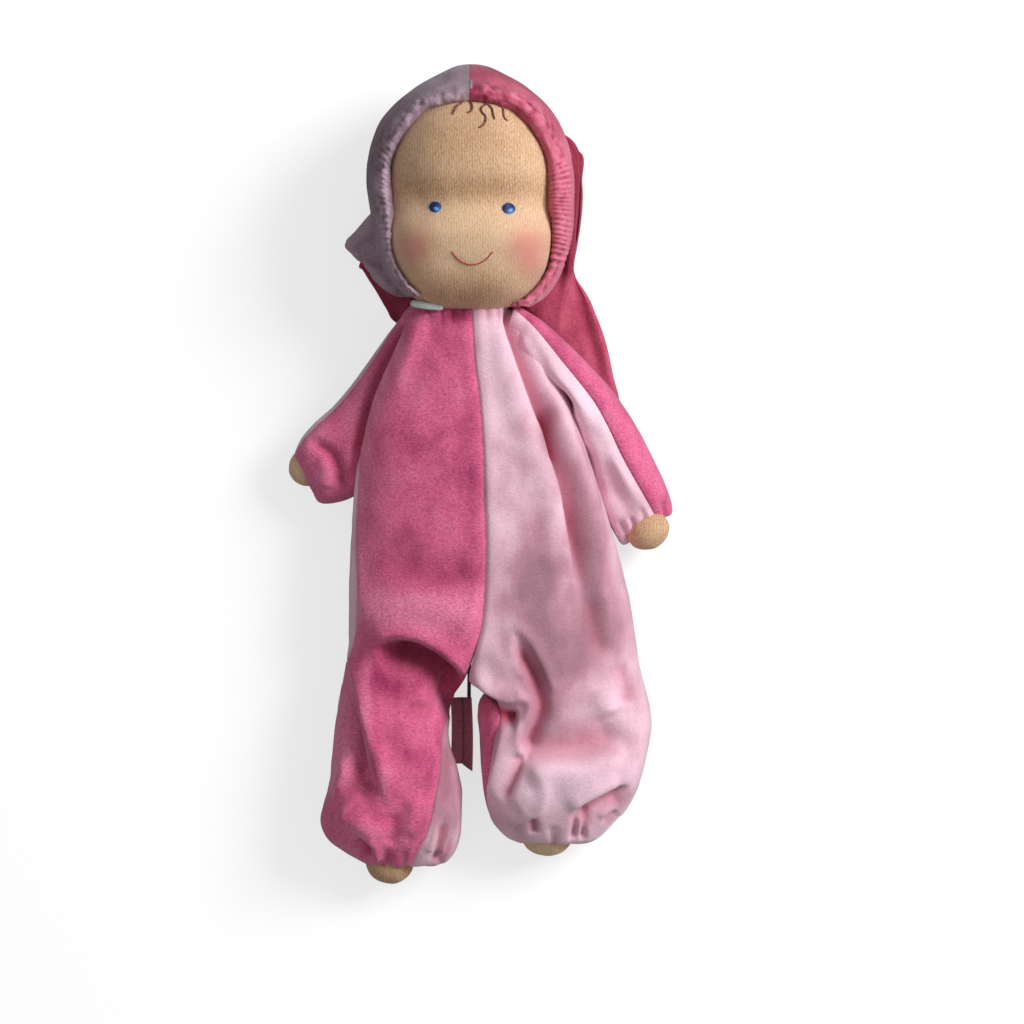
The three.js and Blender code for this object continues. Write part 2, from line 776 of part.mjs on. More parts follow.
// The hood follows the back of the head, stands off at its sides and runs up to a high crown
function hoodPoint(polar, angle, inset) {
  const section = headSection(polar, inset - cloth - fit);
  const above = Math.max(-Math.cos(polar), 0);
  const spare = hoodTop - headMiddle - headHeight / 2 - cloth - fit;
  section.along += above * spare;
  const [x, y, z] = onSection(section, angle);
  const swell = THREE.MathUtils.smoothstep(angle, -Math.PI / 3, -Math.PI / 9);
  const standOff = (hoodWidth - headWidth) / 2 - cloth - fit;
  const out = swell * standOff * Math.sin(polar);
  return [x + out * Math.cos(angle), y, z + out * Math.sin(angle) * 0.5];
}

// The rolled edge of the hood lies on the skin round the face
function rimRoute(mirror, count) {
  const middle = (faceTop + chinLine) / 2;
  return steps(0, rimEndAngle, count).map((angle, i) => {
    const x = (faceWidth / 2) * Math.sin(angle);
    const y = middle + (faceTop - middle) * Math.cos(angle);
    const { place } = onFace(x, y, rimRadius + softFit + fit);
    place.x = mirror * (place.x + (i === 0 ? softFit : 0));
    return place;
  });
}

// The hood's cloth runs up from the back seam until it meets the rolled edge
function hoodEdge(polar, route) {
  const room = rimRadius + softFit + fit;
  let edge = -quarter;
  for (let angle = -quarter; angle <= quarter; angle += Math.PI / 90) {
    const near = [0, cloth].some((inset) => {
      const place = new THREE.Vector3(...hoodPoint(polar, angle, inset));
      return route.some((point) => point.distanceTo(place) < room);
    });
    if (near) {
      break;
    }
    edge = angle;
  }
  return edge;
}

function buildHood() {
  const start = Math.acos((headMiddle - hoodStart) / (headHeight / 2));
  const polars = steps(start, Math.PI - 0.08, 13);
  [['right', -1, 'paleVelour'], ['left', 1, 'darkVelour']].forEach(([side, mirror, finish]) => {
    const fine = new THREE.CatmullRomCurve3(rimRoute(1, 14)).getPoints(80);
    const edges = polars.map((polar) => hoodEdge(polar, fine));
    const net = (inset) => polars.map((polar, i) => steps(-quarter, edges[i], 9).map((angle) => {
      const [x, y, z] = hoodPoint(polar, angle, inset);
      return [mirror * Math.max(x, fit / 2), y, z];
    }));
    add(`hood_${side}`, clothPatch(net(0), net(cloth)), finish);
    add(`hood_rim_${side}`, barAlong(rimRoute(mirror, 14), rimRadius, 22, 8), finish);
  });
}

// The long tip of the hood, folded flat under the head and the shoulders

const tailShareRows = [
  // width, depth, bow
  [0, 0.84, 0.9, 0],
  [0.08, 1, 1, 0.3],
  [0.3, 0.93, 1, 0.9],
  [0.55, 0.66, 1, 1],
  [0.8, 0.34, 0.95, 0.6],
  [0.94, 0.15, 0.8, 0.2],
  [1, 0.05, 0.5, 0],
];

function buildTail() {
  const group = new THREE.Group();
  group.position.set(legMiddle * 2, tailBaseLine, 0);
  group.rotation.z = tailTurn;
  doll.add(group);
  const sections = steps(0, 1, 12).map((share) => {
    const [width, depth, bow] = readShares(tailShareRows, share);
    return {
      along: -share * tailLength,
      side: bow * tailBow,
      halfWidth: (width * tailWidth) / 2,
      halfDepth: (depth * tailThickness) / 2 + restFlat / 2,
      rise: (depth * tailThickness) / 2 - restFlat / 2,
      floor: 0,
      square: 2.6,
    };
  });
  const whole = wholeForm(sections, 16);
  const across = tailWidth * 2;
  [['right', 1, 'paleVelour'], ['left', -1, 'darkVelour']].forEach(([side, mirror, finish]) => {
    const half = new THREE.BoxGeometry(across, tailLength * 3, tailThickness * 4);
    half.translate(mirror * (across / 2 - fit / 2), 0, 0);
    add(`hood_tail_${side}`, cut(whole, half), finish, group);
  });
}

// The end of the neck tape, laid over the collar
function buildTape() {
  const rows = steps(neckLine - fit, neckLine - fit - tapeWidth, 2);
  const net = (inset) => rows.map((along) => {
    const section = torsoRow(along, inset);
    return steps(tapeInner, tapeInner + tapeLength, 6).map((x) => {
      const across = (x + section.side) / section.halfWidth;
      return onSection(section, Math.acos(-(across ** (section.square / 2))));
    });
  });
  add('neck_tape', clothPatch(net(-fit - tapeDepth), net(-fit)), 'mint');
}

// The blank folded tag stands on its fold between the legs, on its cord from the seam

// Points chosen by hand along the free cord, from the seam to the tag
const cordRoute = [
  [-0.3, -46.3, 16],
  [-0.3, -51, 15],
  [-0.35, -57, 12],
  [-0.4, -64, 8],
  [-0.5, -70, 4.2],
  [-0.55, -75, 1.9],
  [-0.6, -78.5, 1.1],
  [-0.6, -81.2, 1],
];

function buildTag() {
  const tagMiddle = cordRoute[cordRoute.length - 1][0];
  const height = Math.sqrt(tagWidth ** 2 - tagSpread ** 2);
  const profile = new THREE.Shape();
  const foot = tagLeaf * 1.5;
  profile.moveTo(-foot, 0);
  profile.lineTo(foot, 0);
  profile.lineTo(tagSpread + tagLeaf, height);
  profile.lineTo(tagSpread, height);
  profile.lineTo(0, tagLeaf * 2);
  profile.lineTo(-tagSpread, height);
  profile.lineTo(-tagSpread - tagLeaf, height);
  const folded = new THREE.ExtrudeGeometry(profile, { depth: tagLength, steps: 1, bevelEnabled: false });
  folded.rotateX(quarter);
  const tag = add('hang_tag', folded, 'tag');
  tag.position.set(tagMiddle, tagLine, 0);
  const route = cordRoute.map((point) => new THREE.Vector3(...point));
  add('tag_cord', barAlong(route, cordDiameter / 2, 13, 8), 'cord');
}

buildTorso();
buildArm('right', 'darkVelour', 'paleVelour');
buildArm('left', 'paleVelour', 'darkVelour');
buildLeg('right', 'darkVelour', 'paleVelour');
buildLeg('left', 'paleVelour', 'darkVelour');
buildNeck();
buildHead();
buildFace();
buildHair();
buildHood();
buildTail();
buildTape();
buildTag();

export default doll;
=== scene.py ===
# The looks of a soft hooded baby doll that lies on its back, seen from straight above.
# Metres in the part's frame: +Z out of the face, +Y towards the hood, the doll's right at -X.
# Outlines and folds are written as places (u, v) in the picture and carried to the part.
import math

import bpy
import numpy as np
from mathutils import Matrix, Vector, noise


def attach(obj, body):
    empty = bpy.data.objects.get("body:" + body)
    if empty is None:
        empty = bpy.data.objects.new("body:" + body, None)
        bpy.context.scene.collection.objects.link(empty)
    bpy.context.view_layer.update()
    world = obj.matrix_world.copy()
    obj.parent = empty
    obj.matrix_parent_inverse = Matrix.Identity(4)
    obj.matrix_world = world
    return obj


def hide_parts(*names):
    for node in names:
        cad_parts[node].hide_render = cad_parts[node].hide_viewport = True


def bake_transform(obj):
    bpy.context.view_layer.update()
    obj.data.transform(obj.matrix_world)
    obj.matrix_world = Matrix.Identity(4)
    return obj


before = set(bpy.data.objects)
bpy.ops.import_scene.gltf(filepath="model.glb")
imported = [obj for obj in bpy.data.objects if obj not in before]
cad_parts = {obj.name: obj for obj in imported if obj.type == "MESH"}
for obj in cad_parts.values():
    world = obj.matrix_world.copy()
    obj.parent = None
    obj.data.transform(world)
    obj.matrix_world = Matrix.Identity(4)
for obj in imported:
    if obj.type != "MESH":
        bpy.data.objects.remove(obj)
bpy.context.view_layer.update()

# Camera and picture scale
MM = 0.001
SPAN = 0.376
HEIGHT = 2.0
PLANE = 0.03
MIDDLE = (0.0154, -0.01175)
PIXELS = 1024

# The width of seams, and the place and width of the welt beside them, in millimetres
SEAM_WIDTH, WELT_PLACE, WELT_WIDTH = 1.3, 3, 2

# Least heights of cloth and of its inner side, and of a hood half from the middle, in metres
FLOOR_GAP, UNDER_GAP, MIDDLE_GAP = 0.0003, 0.0004, 0.00005


def add_camera():
    camera = bpy.data.cameras.new("camera")
    camera.sensor_width = 36
    camera.lens = 36 * (HEIGHT - PLANE) / SPAN
    camera.clip_start = 0.05
    holder = bpy.data.objects.new("camera", camera)
    holder.location = (*MIDDLE, HEIGHT)
    bpy.context.scene.collection.objects.link(holder)
    bpy.context.scene.camera = holder


def at(u, v, z):
    """The place at height z, in millimetres, that shows at the picture's point (u, v)."""
    step = SPAN / PIXELS * (HEIGHT - z * MM) / (HEIGHT - PLANE)
    return (MIDDLE[0] + (u - PIXELS / 2) * step, MIDDLE[1] - (v - PIXELS / 2) * step, z * MM)


def on_picture(points):
    """The picture's points at which places show."""
    step = SPAN / PIXELS * (HEIGHT - points[..., 2]) / (HEIGHT - PLANE)
    u = PIXELS / 2 + (points[..., 0] - MIDDLE[0]) / step
    v = PIXELS / 2 - (points[..., 1] - MIDDLE[1]) / step
    return np.stack([u, v], -1)


def patches_at(spots, patches, power=1):
    """Soft round patches (u, v, width, height, value) of the picture, added up at spots."""
    total = np.zeros(spots.shape[:-1])
    for u, v, wide, high, value in patches:
        far = ((spots[..., 0] - u) / wide) ** 2 + ((spots[..., 1] - v) / high) ** 2
        total += value * np.exp(-(far ** power))
    return total


# Curves, nets and meshes


def smooth(rows, count):
    """Rows of numbers read smoothly at count even steps."""
    rows = np.array(rows, float)
    spots = np.linspace(0, len(rows) - 1, count)
    low = np.minimum(spots.astype(int), len(rows) - 2)
    t = (spots - low)[:, None]
    p0, p1 = rows[np.maximum(low - 1, 0)], rows[low]
    p2, p3 = rows[low + 1], rows[np.minimum(low + 2, len(rows) - 1)]
    m1, m2 = (p2 - p0) / 2, (p3 - p1) / 2
    t2, t3 = t * t, t * t * t
    return p1 * (2 * t3 - 3 * t2 + 1) + m1 * (t3 - 2 * t2 + t) + p2 * (3 * t2 - 2 * t3) + m2 * (t3 - t2)


def even(points, count):
    """A smooth curve through points, read at count places of equal spacing."""
    fine = smooth(points, 40 * len(points))
    run = np.concatenate([[0], np.cumsum(np.linalg.norm(np.diff(fine, axis=0), axis=1))])
    spots = np.linspace(0, run[-1], count)
    return np.stack([np.interp(spots, run, fine[:, k]) for k in range(fine.shape[1])], -1)


def ease(x, low, high):
    t = np.clip((x - low) / (high - low), 0, 1)
    return t * t * (3 - 2 * t)


def normals_of(net):
    along = np.gradient(net, axis=0)
    across = np.gradient(net, axis=1)
    normal = np.cross(across, along)
    length = np.linalg.norm(normal, axis=-1, keepdims=True)
    return normal / np.maximum(length, 1e-12)


def rough(points, size, seed):
    """Smooth noise from -1 to 1 whose lumps are size millimetres wide."""
    flat = points.reshape(-1, 3) / (size * MM) + seed * 7.31
    return np.array([noise.noise(Vector(p)) for p in flat]).reshape(points.shape[:-1])


def new_mesh(name, points, faces, material, marks=None):
    mesh = bpy.data.meshes.new(name)
    mesh.from_pydata([tuple(p) for p in points], [], [tuple(f) for f in faces])
    mesh.validate()
    mesh.update()
    for polygon in mesh.polygons:
        polygon.use_smooth = True
    for key, values in (marks or {}).items():
        layer = mesh.attributes.new(key, "FLOAT", "POINT")
        layer.data.foreach_set("value", np.asarray(values, np.float32).ravel())
    mesh.materials.append(material)
    piece = bpy.data.objects.new(name, mesh)
    bpy.context.scene.collection.objects.link(piece)
    return piece


def cloth_mesh(name, net, material, thick=1.2, marks=None):
    """A closed sheet of cloth, net being its outer face, whose normals point out."""
    rows, columns = net.shape[:2]
    inner = net - normals_of(net) * thick * MM
    inner[..., 2] = np.maximum(inner[..., 2], UNDER_GAP)
    points = np.concatenate([net.reshape(-1, 3), inner.reshape(-1, 3)])
    index = np.arange(rows * columns).reshape(rows, columns)
    back = index + rows * columns
    quads = []

    def strip(a, b, c, d):
        quads.append(np.stack([a.ravel(), b.ravel(), c.ravel(), d.ravel()], -1))

    strip(index[:-1, :-1], index[:-1, 1:], index[1:, 1:], index[1:, :-1])
    strip(back[:-1, :-1], back[1:, :-1], back[1:, 1:], back[:-1, 1:])
    strip(index[:-1, 0], index[1:, 0], back[1:, 0], back[:-1, 0])
    strip(index[:-1, -1], back[:-1, -1], back[1:, -1], index[1:, -1])
    strip(index[0, :-1], back[0, :-1], back[0, 1:], index[0, 1:])
    strip(index[-1, :-1], index[-1, 1:], back[-1, 1:], back[-1, :-1])
    doubled = {k: np.concatenate([v.ravel(), v.ravel()]) for k, v in (marks or {}).items()}
    return new_mesh(name, points, np.concatenate(quads), material, doubled)


def ring_faces(rows, columns, turned=False):
    """The faces of a net whose rows are closed rings, with a cap at each end, or the same turned inside out."""
    index = np.arange(rows * columns).reshape(rows, columns)
    following = np.roll(index, -1, axis=1)
    faces = []
    for i in range(rows - 1):
        corners = [index[i], index[i + 1], following[i + 1], following[i]]
        faces.extend(zip(*([corners[0], *corners[:0:-1]] if turned else corners)))
    step = -1 if turned else 1
    return faces + [tuple(index[0, ::step]), tuple(index[-1, ::-step])]


def ring_normals(net):
    """The normals of a net whose rows are closed rings."""
    return -normals_of(np.concatenate([net[:, -1:], net, net[:, :1]], 1))[:, 1:-1]


def around(count):
    return np.linspace(0, 2 * math.pi, count, endpoint=False)


def turned_by(x, y, angle):
    c, s = math.cos(angle), math.sin(angle)
    return x * c - y * s, x * s + y * c


def tube(name, points, radii, material, sides, flat=1.0):
    """A closed tube along points with its own radius at each, in metres."""
    points = np.array(points, float)
    radii = np.broadcast_to(np.asarray(radii, float), (len(points),))
    tangent = np.gradient(points, axis=0)
    tangent /= np.linalg.norm(tangent, axis=1, keepdims=True)
    side = np.cross(tangent, (0.0, 0.0, 1.0))
    side /= np.maximum(np.linalg.norm(side, axis=1, keepdims=True), 1e-9)
    rise = np.cross(side, tangent)
    angle = around(sides)
    ring = (side[:, None] * np.cos(angle)[None, :, None]
            + rise[:, None] * np.sin(angle)[None, :, None] * flat) * radii[:, None, None]
    body = np.concatenate([(points[:, None] + ring).reshape(-1, 3), points[:1], points[-1:]])
    faces = ring_faces(len(points), sides)[:-2]
    last = (len(points) - 1) * sides
    for j in range(sides):
        k = (j + 1) % sides
        faces += [(len(body) - 2, j, k), (len(body) - 1, last + k, last + j)]
    return new_mesh(name, body, faces, material)


def belongs(piece, body, nodes=()):
    """Says what carries a piece and the nodes that it stands for."""
    if body:
        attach(piece, body)
    if nodes:
        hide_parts(*nodes)


# Folds


def fold_field(net, folds):
    """How far folds lift each point, in millimetres, and how much painted crease shade it gets, from 0 to 1.
    Folds are given as (points, lift, width left of the line, width right of it, depth of painted crease shade,
    fades)."""
    spots = on_picture(net).reshape(-1, 2)
    lift, deep = np.zeros(len(spots)), np.zeros(len(spots))
    for points, height, left, right, depth, fades in folds:
        line = even(points, 24)
        best = np.full(len(spots), 1e9)
        signed, share = np.zeros(len(spots)), np.zeros(len(spots))
        for i in range(len(line) - 1):
            a, d = line[i], line[i + 1] - line[i]
            t = np.clip(((spots - a) @ d) / (d @ d), 0, 1)
            off = spots - (a + t[:, None] * d)
            far = np.hypot(off[:, 0], off[:, 1])
            near = far < best
            best = np.where(near, far, best)
            signed = np.where(near, d[0] * off[:, 1] - d[1] * off[:, 0], signed)
            share = np.where(near, (i + t) / (len(line) - 1), share)
        width = np.where(signed < 0, left, right)
        strength = np.exp(-((best / width) ** 2))
        if fades[0]:
            strength *= ease(share, 0, fades[0])
        if fades[1]:
            strength *= ease(1 - share, 0, fades[1])
        lift += height * strength
        deep = np.maximum(deep, depth * strength)
    return lift.reshape(net.shape[:-1]), deep.reshape(net.shape[:-1])


# Materials


def nodes_of(name):
    material = bpy.data.materials.new(name)
    material.use_nodes = True
    tree = material.node_tree
    return material, tree, tree.nodes["Principled BSDF"]


def make(tree, kind, values=None, links=None):
    node = tree.nodes.new(kind)
    for key, value in (values or {}).items():
        if isinstance(key, str) and hasattr(node, key):
            setattr(node, key, value)
        else:
            node.inputs[key].default_value = value
    for key, socket in (links or {}).items():
        tree.links.new(socket, node.inputs[key])
    return node


def ramp(tree, socket, stops):
    node = make(tree, "ShaderNodeValToRGB", links={0: socket})
    points = node.color_ramp.elements
    while len(points) < len(stops):
        points.new(0.5)
    for point, (place, colour) in zip(points, stops):
        point.position = place
        point.color = (*colour, 1)
    return node.outputs[0]


def feed(tree, node, inputs):
    """Joins inputs of a node to sockets, or sets them to a number or a colour."""
    for key, value in inputs:
        if hasattr(value, "is_output"):
            tree.links.new(value, node.inputs[key])
        else:
            node.inputs[key].default_value = (*value, 1) if isinstance(value, tuple) else value
    return node


def blend_of(tree, share, first, second, kind="MIX"):
    node = make(tree, "ShaderNodeMix", {"data_type": "RGBA", "blend_type": kind})
    return feed(tree, node, ((0, share), (6, first), (7, second))).outputs[2]


def srgb(r, g, b):
    return tuple(((c / 255 + 0.055) / 1.055) ** 2.4 if c > 10 else c / 255 / 12.92 for c in (r, g, b))


def maths(tree, kind, first, second, clamp=False):
    node = make(tree, "ShaderNodeMath", {"operation": kind, "use_clamp": clamp})
    return feed(tree, node, ((0, first), (1, second))).outputs[0]


def weighted(tree, first, share, second, other):
    return maths(tree, "ADD", maths(tree, "MULTIPLY", first, share), maths(tree, "MULTIPLY", second, other))


def place_of(tree):
    return make(tree, "ShaderNodeTexCoord").outputs["Object"]


def mark_of(tree, name):
    return make(tree, "ShaderNodeAttribute", {"attribute_name": name}).outputs["Fac"]


def mapped(tree, place, scale, turn=(0, 0, 0)):
    return make(tree, "ShaderNodeMapping", {"Scale": scale, "Rotation": turn}, {"Vector": place}).outputs[0]


def noise_of(tree, place, scale, detail, **more):
    values = {"Scale": scale, "Detail": detail, **{key.title(): value for key, value in more.items()}}
    return make(tree, "ShaderNodeTexNoise", values, {"Vector": place}).outputs[0]


def bands_of(tree, place, scale, distortion, direction, **more):
    values = {"Scale": scale, "Distortion": distortion, "Detail": 2, "bands_direction": direction, **more}
    return make(tree, "ShaderNodeTexWave", values, {"Vector": place}).outputs["Fac"]


def surface(tree, shader, colour, height, strength, distance, plain):
    """Joins colour and bump to a shader, and sets its plain inputs."""
    tree.links.new(colour, shader.inputs["Base Color"])
    bump = make(tree, "ShaderNodeBump", {"Strength": strength, "Distance": distance}, {"Height": height})
    tree.links.new(bump.outputs[0], shader.inputs["Normal"])
    feed(tree, shader, plain.items())


def velour(name, pale, base, deep, crease_shade, sheen_tint, sheen, fuzz):
    """Cut pile whose tufts lie this way and that: soft clouds, short streaks of fuzz and a soft sheen, with painted
    light and shade and painted crease shade where the mesh marks them.
    """
    material, tree, shader = nodes_of(name)
    place = place_of(tree)
    cloud = noise_of(tree, place, 34, 3, distortion=0.8)
    brushed = noise_of(tree, mapped(tree, place, (1.0, 0.4, 1.0)), 170, 4)
    across = mapped(tree, place, (0.55, 1.0, 0.8), (0, 0, 0.12))
    pile = noise_of(tree, across, 1500, 2, roughness=0.6, distortion=0.5)
    tips = noise_of(tree, across, 2400, 2, roughness=0.7)
    tone = maths(tree, "MULTIPLY_ADD", cloud, 0.5)
    tone.node.inputs[2].default_value = 0.03
    tone = maths(tree, "ADD", tone, maths(tree, "MULTIPLY", brushed, 0.3))
    # Painted light and shade from the mesh, partly real lighter or darker pile, raise or lower the tone
    tone = maths(tree, "ADD", tone, mark_of(tree, "nap_and_painted_light"))
    darkest = tuple(c * (0.5 if fuzz > 0.4 else 0.7) for c in deep)
    colour = ramp(tree, tone, [(0.0, darkest), (0.2, deep), (0.44, base), (0.78, pale)])
    fine = weighted(tree, pile, 0.62, tips, 0.38)
    speck = ramp(tree, fine, [(0.34, (0.52, 0.44, 0.48)), (0.5, (1.0, 1.0, 1.0)), (0.66, (1.4, 1.62, 1.5))])
    colour = blend_of(tree, fuzz, colour, speck, "MULTIPLY")
    # Painted crease shade: a deep red where the mesh marks a crease, standing in for shade in the valleys
    colour = blend_of(tree, mark_of(tree, "fold_shade"), colour, crease_shade)
    height = maths(tree, "ADD", fine, maths(tree, "MULTIPLY", brushed, 0.6))
    surface(tree, shader, colour, height, 0.25 + 0.35 * fuzz, 0.0008, {
        "Roughness": 0.95, "Specular IOR Level": 0.15, "Sheen Weight": sheen, "Sheen Roughness": 0.42,
        "Sheen Tint": sheen_tint})
    return material


def knit(name, light, base, dark):
    """Cotton knit with fine upright ribs of stitches, a rubbed blush and painted shade where the mesh says so."""
    material, tree, shader = nodes_of(name)
    place = place_of(tree)
    bend = make(tree, "ShaderNodeTexNoise", {"Scale": 90, "Detail": 2}, {"Vector": place}).outputs[1]
    shift = make(tree, "ShaderNodeVectorMath", {"operation": "MULTIPLY_ADD", 1: (0.0016, 0.0016, 0)},
                 {0: bend, 2: place}).outputs[0]
    ribs = bands_of(tree, shift, 330, 5, "X", **{"Detail": 3, "Detail Scale": 2.2})
    grain = noise_of(tree, mapped(tree, shift, (1.5, 0.7, 1.0)), 1250, 3, roughness=0.7)
    fine = weighted(tree, ribs, 0.24, grain, 1.16)
    tone = weighted(tree, fine, 0.74, noise_of(tree, place, 60, 3), 0.26)
    # Painted shade from the mesh darkens the knit
    tone = maths(tree, "SUBTRACT", tone, mark_of(tree, "shade"))
    darkest = tuple(c * 0.45 for c in dark)
    colour = ramp(tree, tone, [(0.08, darkest), (0.38, dark), (0.62, base), (0.86, light)])
    patchy = maths(tree, "MULTIPLY", mark_of(tree, "blush"), maths(tree, "ADD", fine, 0.28), True)
    colour = blend_of(tree, patchy, colour, srgb(208, 98, 106))
    surface(tree, shader, colour, fine, 0.35, 0.0003, {
        "Roughness": 0.85, "Specular IOR Level": 0.2, "Sheen Weight": 0.25, "Sheen Roughness": 0.5})
    return material


def thread(name, base, dark):
    """Twisted thread, with light and dark along its turns."""
    material, tree, shader = nodes_of(name)
    place = place_of(tree)
    tone = weighted(tree, bands_of(tree, place, 2600 / 6, 2.5, "DIAGONAL"), 0.6, noise_of(tree, place, 2600, 2), 0.4)
    surface(tree, shader, ramp(tree, tone, [(0.15, dark), (0.75, base)]), tone, 0.4, 0.0002,
            {"Roughness": 0.55, "Sheen Weight": 0.2})
    return material


DARK = velour("dark_velour", srgb(242, 134, 172), srgb(220, 102, 143), srgb(172, 62, 103), srgb(130, 8, 34),
              srgb(226, 190, 216), 0.85, 0.62)
PALE = velour("pale_velour", srgb(252, 214, 229), srgb(240, 197, 213), srgb(203, 148, 166), srgb(188, 62, 92),
              srgb(232, 222, 238), 0.7, 0.2)
# Darker copies of the two velours with less sheen, as painted shade on the hood and its tip
DARK_SHADED = velour("dark_velour_shaded", srgb(226, 128, 152), srgb(196, 90, 116), srgb(148, 48, 76), srgb(120, 10, 34),
                   srgb(226, 198, 208), 0.5, 0.5)
PALE_SHADED = velour("pale_velour_shaded", srgb(190, 162, 176), srgb(152, 127, 139), srgb(110, 86, 97), srgb(112, 44, 62),
                   srgb(226, 218, 228), 0.4, 0.42)
SKIN = knit("knit_skin", srgb(238, 206, 172), srgb(224, 188, 152), srgb(196, 154, 118))
BROWN = thread("brown_thread", srgb(142, 82, 66), srgb(84, 42, 36))
RED = thread("red_thread", srgb(196, 66, 56), srgb(140, 36, 34))
SKY = thread("pale_blue_thread", srgb(176, 202, 226), srgb(120, 156, 196))
ECRU = thread("tie_thread", srgb(216, 190, 154), srgb(170, 138, 100))

add_camera()

# The free cord of the tag, along the same points as in the model

CORD = [
    (-0.3, -46.3, 16), (-0.3, -51, 15), (-0.35, -57, 12), (-0.4, -64, 8), (-0.5, -70, 4.2), (-0.55, -75, 1.9),
    (-0.6, -78.5, 1.1), (-0.6, -81.2, 1)]
CORD_WIDTH = 1.4


def woven(name, base, dark):
    """A ribbon of fine satin weave, with painted shade where the mesh marks its crease."""
    material, tree, shader = nodes_of(name)
    place = place_of(tree)
    tone = weighted(tree, bands_of(tree, place, 700, 0.8, "Y"), 0.4, noise_of(tree, place, 900, 3), 0.6)
    colour = ramp(tree, tone, [(0.25, dark), (0.75, base)])
    colour = blend_of(tree, mark_of(tree, "fold_shade"), colour, tuple(c * 0.1 for c in dark))
    surface(tree, shader, colour, tone, 0.3, 0.0002, {"Roughness": 0.55})
    return material


def add_tag():
    rows, columns = 40, 31
    across = np.linspace(-1, 1, columns)
    net = np.zeros((rows, columns, 3))
    for i, y in enumerate(np.linspace(-80.7, -105.4, rows)):
        share = i / (rows - 1)
        reach = np.where(across < 0, 4.4, 3.4 + 0.3 * share)
        net[i, :, 0] = -3.0 + reach * np.sign(across) * np.abs(across) ** 1.15 + 0.35 * math.sin(share * 3.1)
        net[i, :, 1] = y - np.where(across > 0, 2.6 * share * across, 0)
        net[i, :, 2] = 1.0 + 4.6 * np.abs(across) ** 1.2
    net *= MM
    # Painted shade in the gap between the two leaves
    marks = {"fold_shade": np.zeros((rows, columns)) + np.exp(-((across / 0.16) ** 2))[None, :]}
    # The ribbon's colours are painted lighter to make up for the legs' shade over it
    tag = cloth_mesh("tag_leaves", net, woven("tag_ribbon", srgb(250, 180, 200), srgb(216, 128, 152)), 0.45, marks)
    belongs(tag, "torso", ["hang_tag"])
    return tag


def add_cord(tag):
    route = even([[c * MM for c in point] for point in CORD], 28)
    string = thread("tag_thread", srgb(176, 116, 130), srgb(120, 70, 84))
    cord = tube("tag_string", route, CORD_WIDTH / 2 * MM, string, 12)
    belongs(cord, "torso", ["tag_cord"])


add_cord(add_tag())

# The romper

# How square a section of stuffed cloth is: 2 would be an ellipse
SQUARE = 2.4


def angle_of(share):
    """Where a seam lies on a section, share being how far it shows from the section's edge."""
    part = np.arcsin(np.clip(1 - 2 * np.abs(share), 0, 1) ** (SQUARE / 2))
    return np.where(share >= 0, part, math.pi - part)


def power_of(value, power):
    return np.sign(value) * np.abs(value) ** (2 / power)


def section(start, end, x, z, top, middle, floor):
    """Points of a section from start to end: x from 0 to 1 across it, z from -1 to 1 up it."""
    height = middle + np.where(z > 0, (top - middle) * z, (middle - floor) * z)
    return np.stack([start[0] + (end[0] - start[0]) * x, start[1] + (end[1] - start[1]) * x, height * MM], -1)


def loft(side, stations, rows, columns):
    """The front and back nets of a stuffed tube between two edges, or of one half of the body.
    A station is (inner u, v, outer u, v, top, middle, floor, leg, inner seam, outer seam)."""
    share = np.linspace(0, 1, columns)
    nets = []
    for front in (True, False):
        net = np.zeros((rows, columns, 3))
        for i, (iu, iv, ou, ov, top, middle, floor, leg, seam_in, seam_out) in enumerate(smooth(stations, rows)):
            inner, outer, crown = at(iu, iv, middle), at(ou, ov, middle), at(iu, iv, top)
            first, last = -angle_of(seam_in), angle_of(seam_out)
            turn = first + share * (last - first)
            if not front:
                turn = first + 2 * math.pi + share * (last - first - 2 * math.pi)
            tubular = section(inner, outer, 0.5 + 0.5 * power_of(np.sin(turn), SQUARE),
                              power_of(np.cos(turn), SQUARE), top, middle, floor)
            arc = share * (last if front else math.pi - last)
            z = power_of(np.cos(arc), SQUARE)
            half = section(crown, outer, power_of(np.sin(arc), SQUARE), z if front else -z, top, middle, floor)
            net[i] = half + (tubular - half) * leg
        nets.append(net[:, ::-1] if front == (side == "left") else net)
    return nets


def from_sides(net):
    """How far each point of a net lies from its two sides, in millimetres."""
    run = np.concatenate([np.zeros((len(net), 1)),
                          np.cumsum(np.linalg.norm(np.diff(net, axis=1), axis=2), axis=1)], 1) / MM
    return run, run[:, -1:] - run


def border_dip(net, depth, sides):
    """How far the cloth dips along the seams at a net's two sides, in millimetres."""
    dip = np.zeros(net.shape[:2])
    for far, wanted in zip(from_sides(net), sides):
        if wanted:
            dip -= depth * np.exp(-((far / SEAM_WIDTH) ** 2))
            dip += depth * 0.5 * np.exp(-(((far - WELT_PLACE) / WELT_WIDTH) ** 2))
    return dip


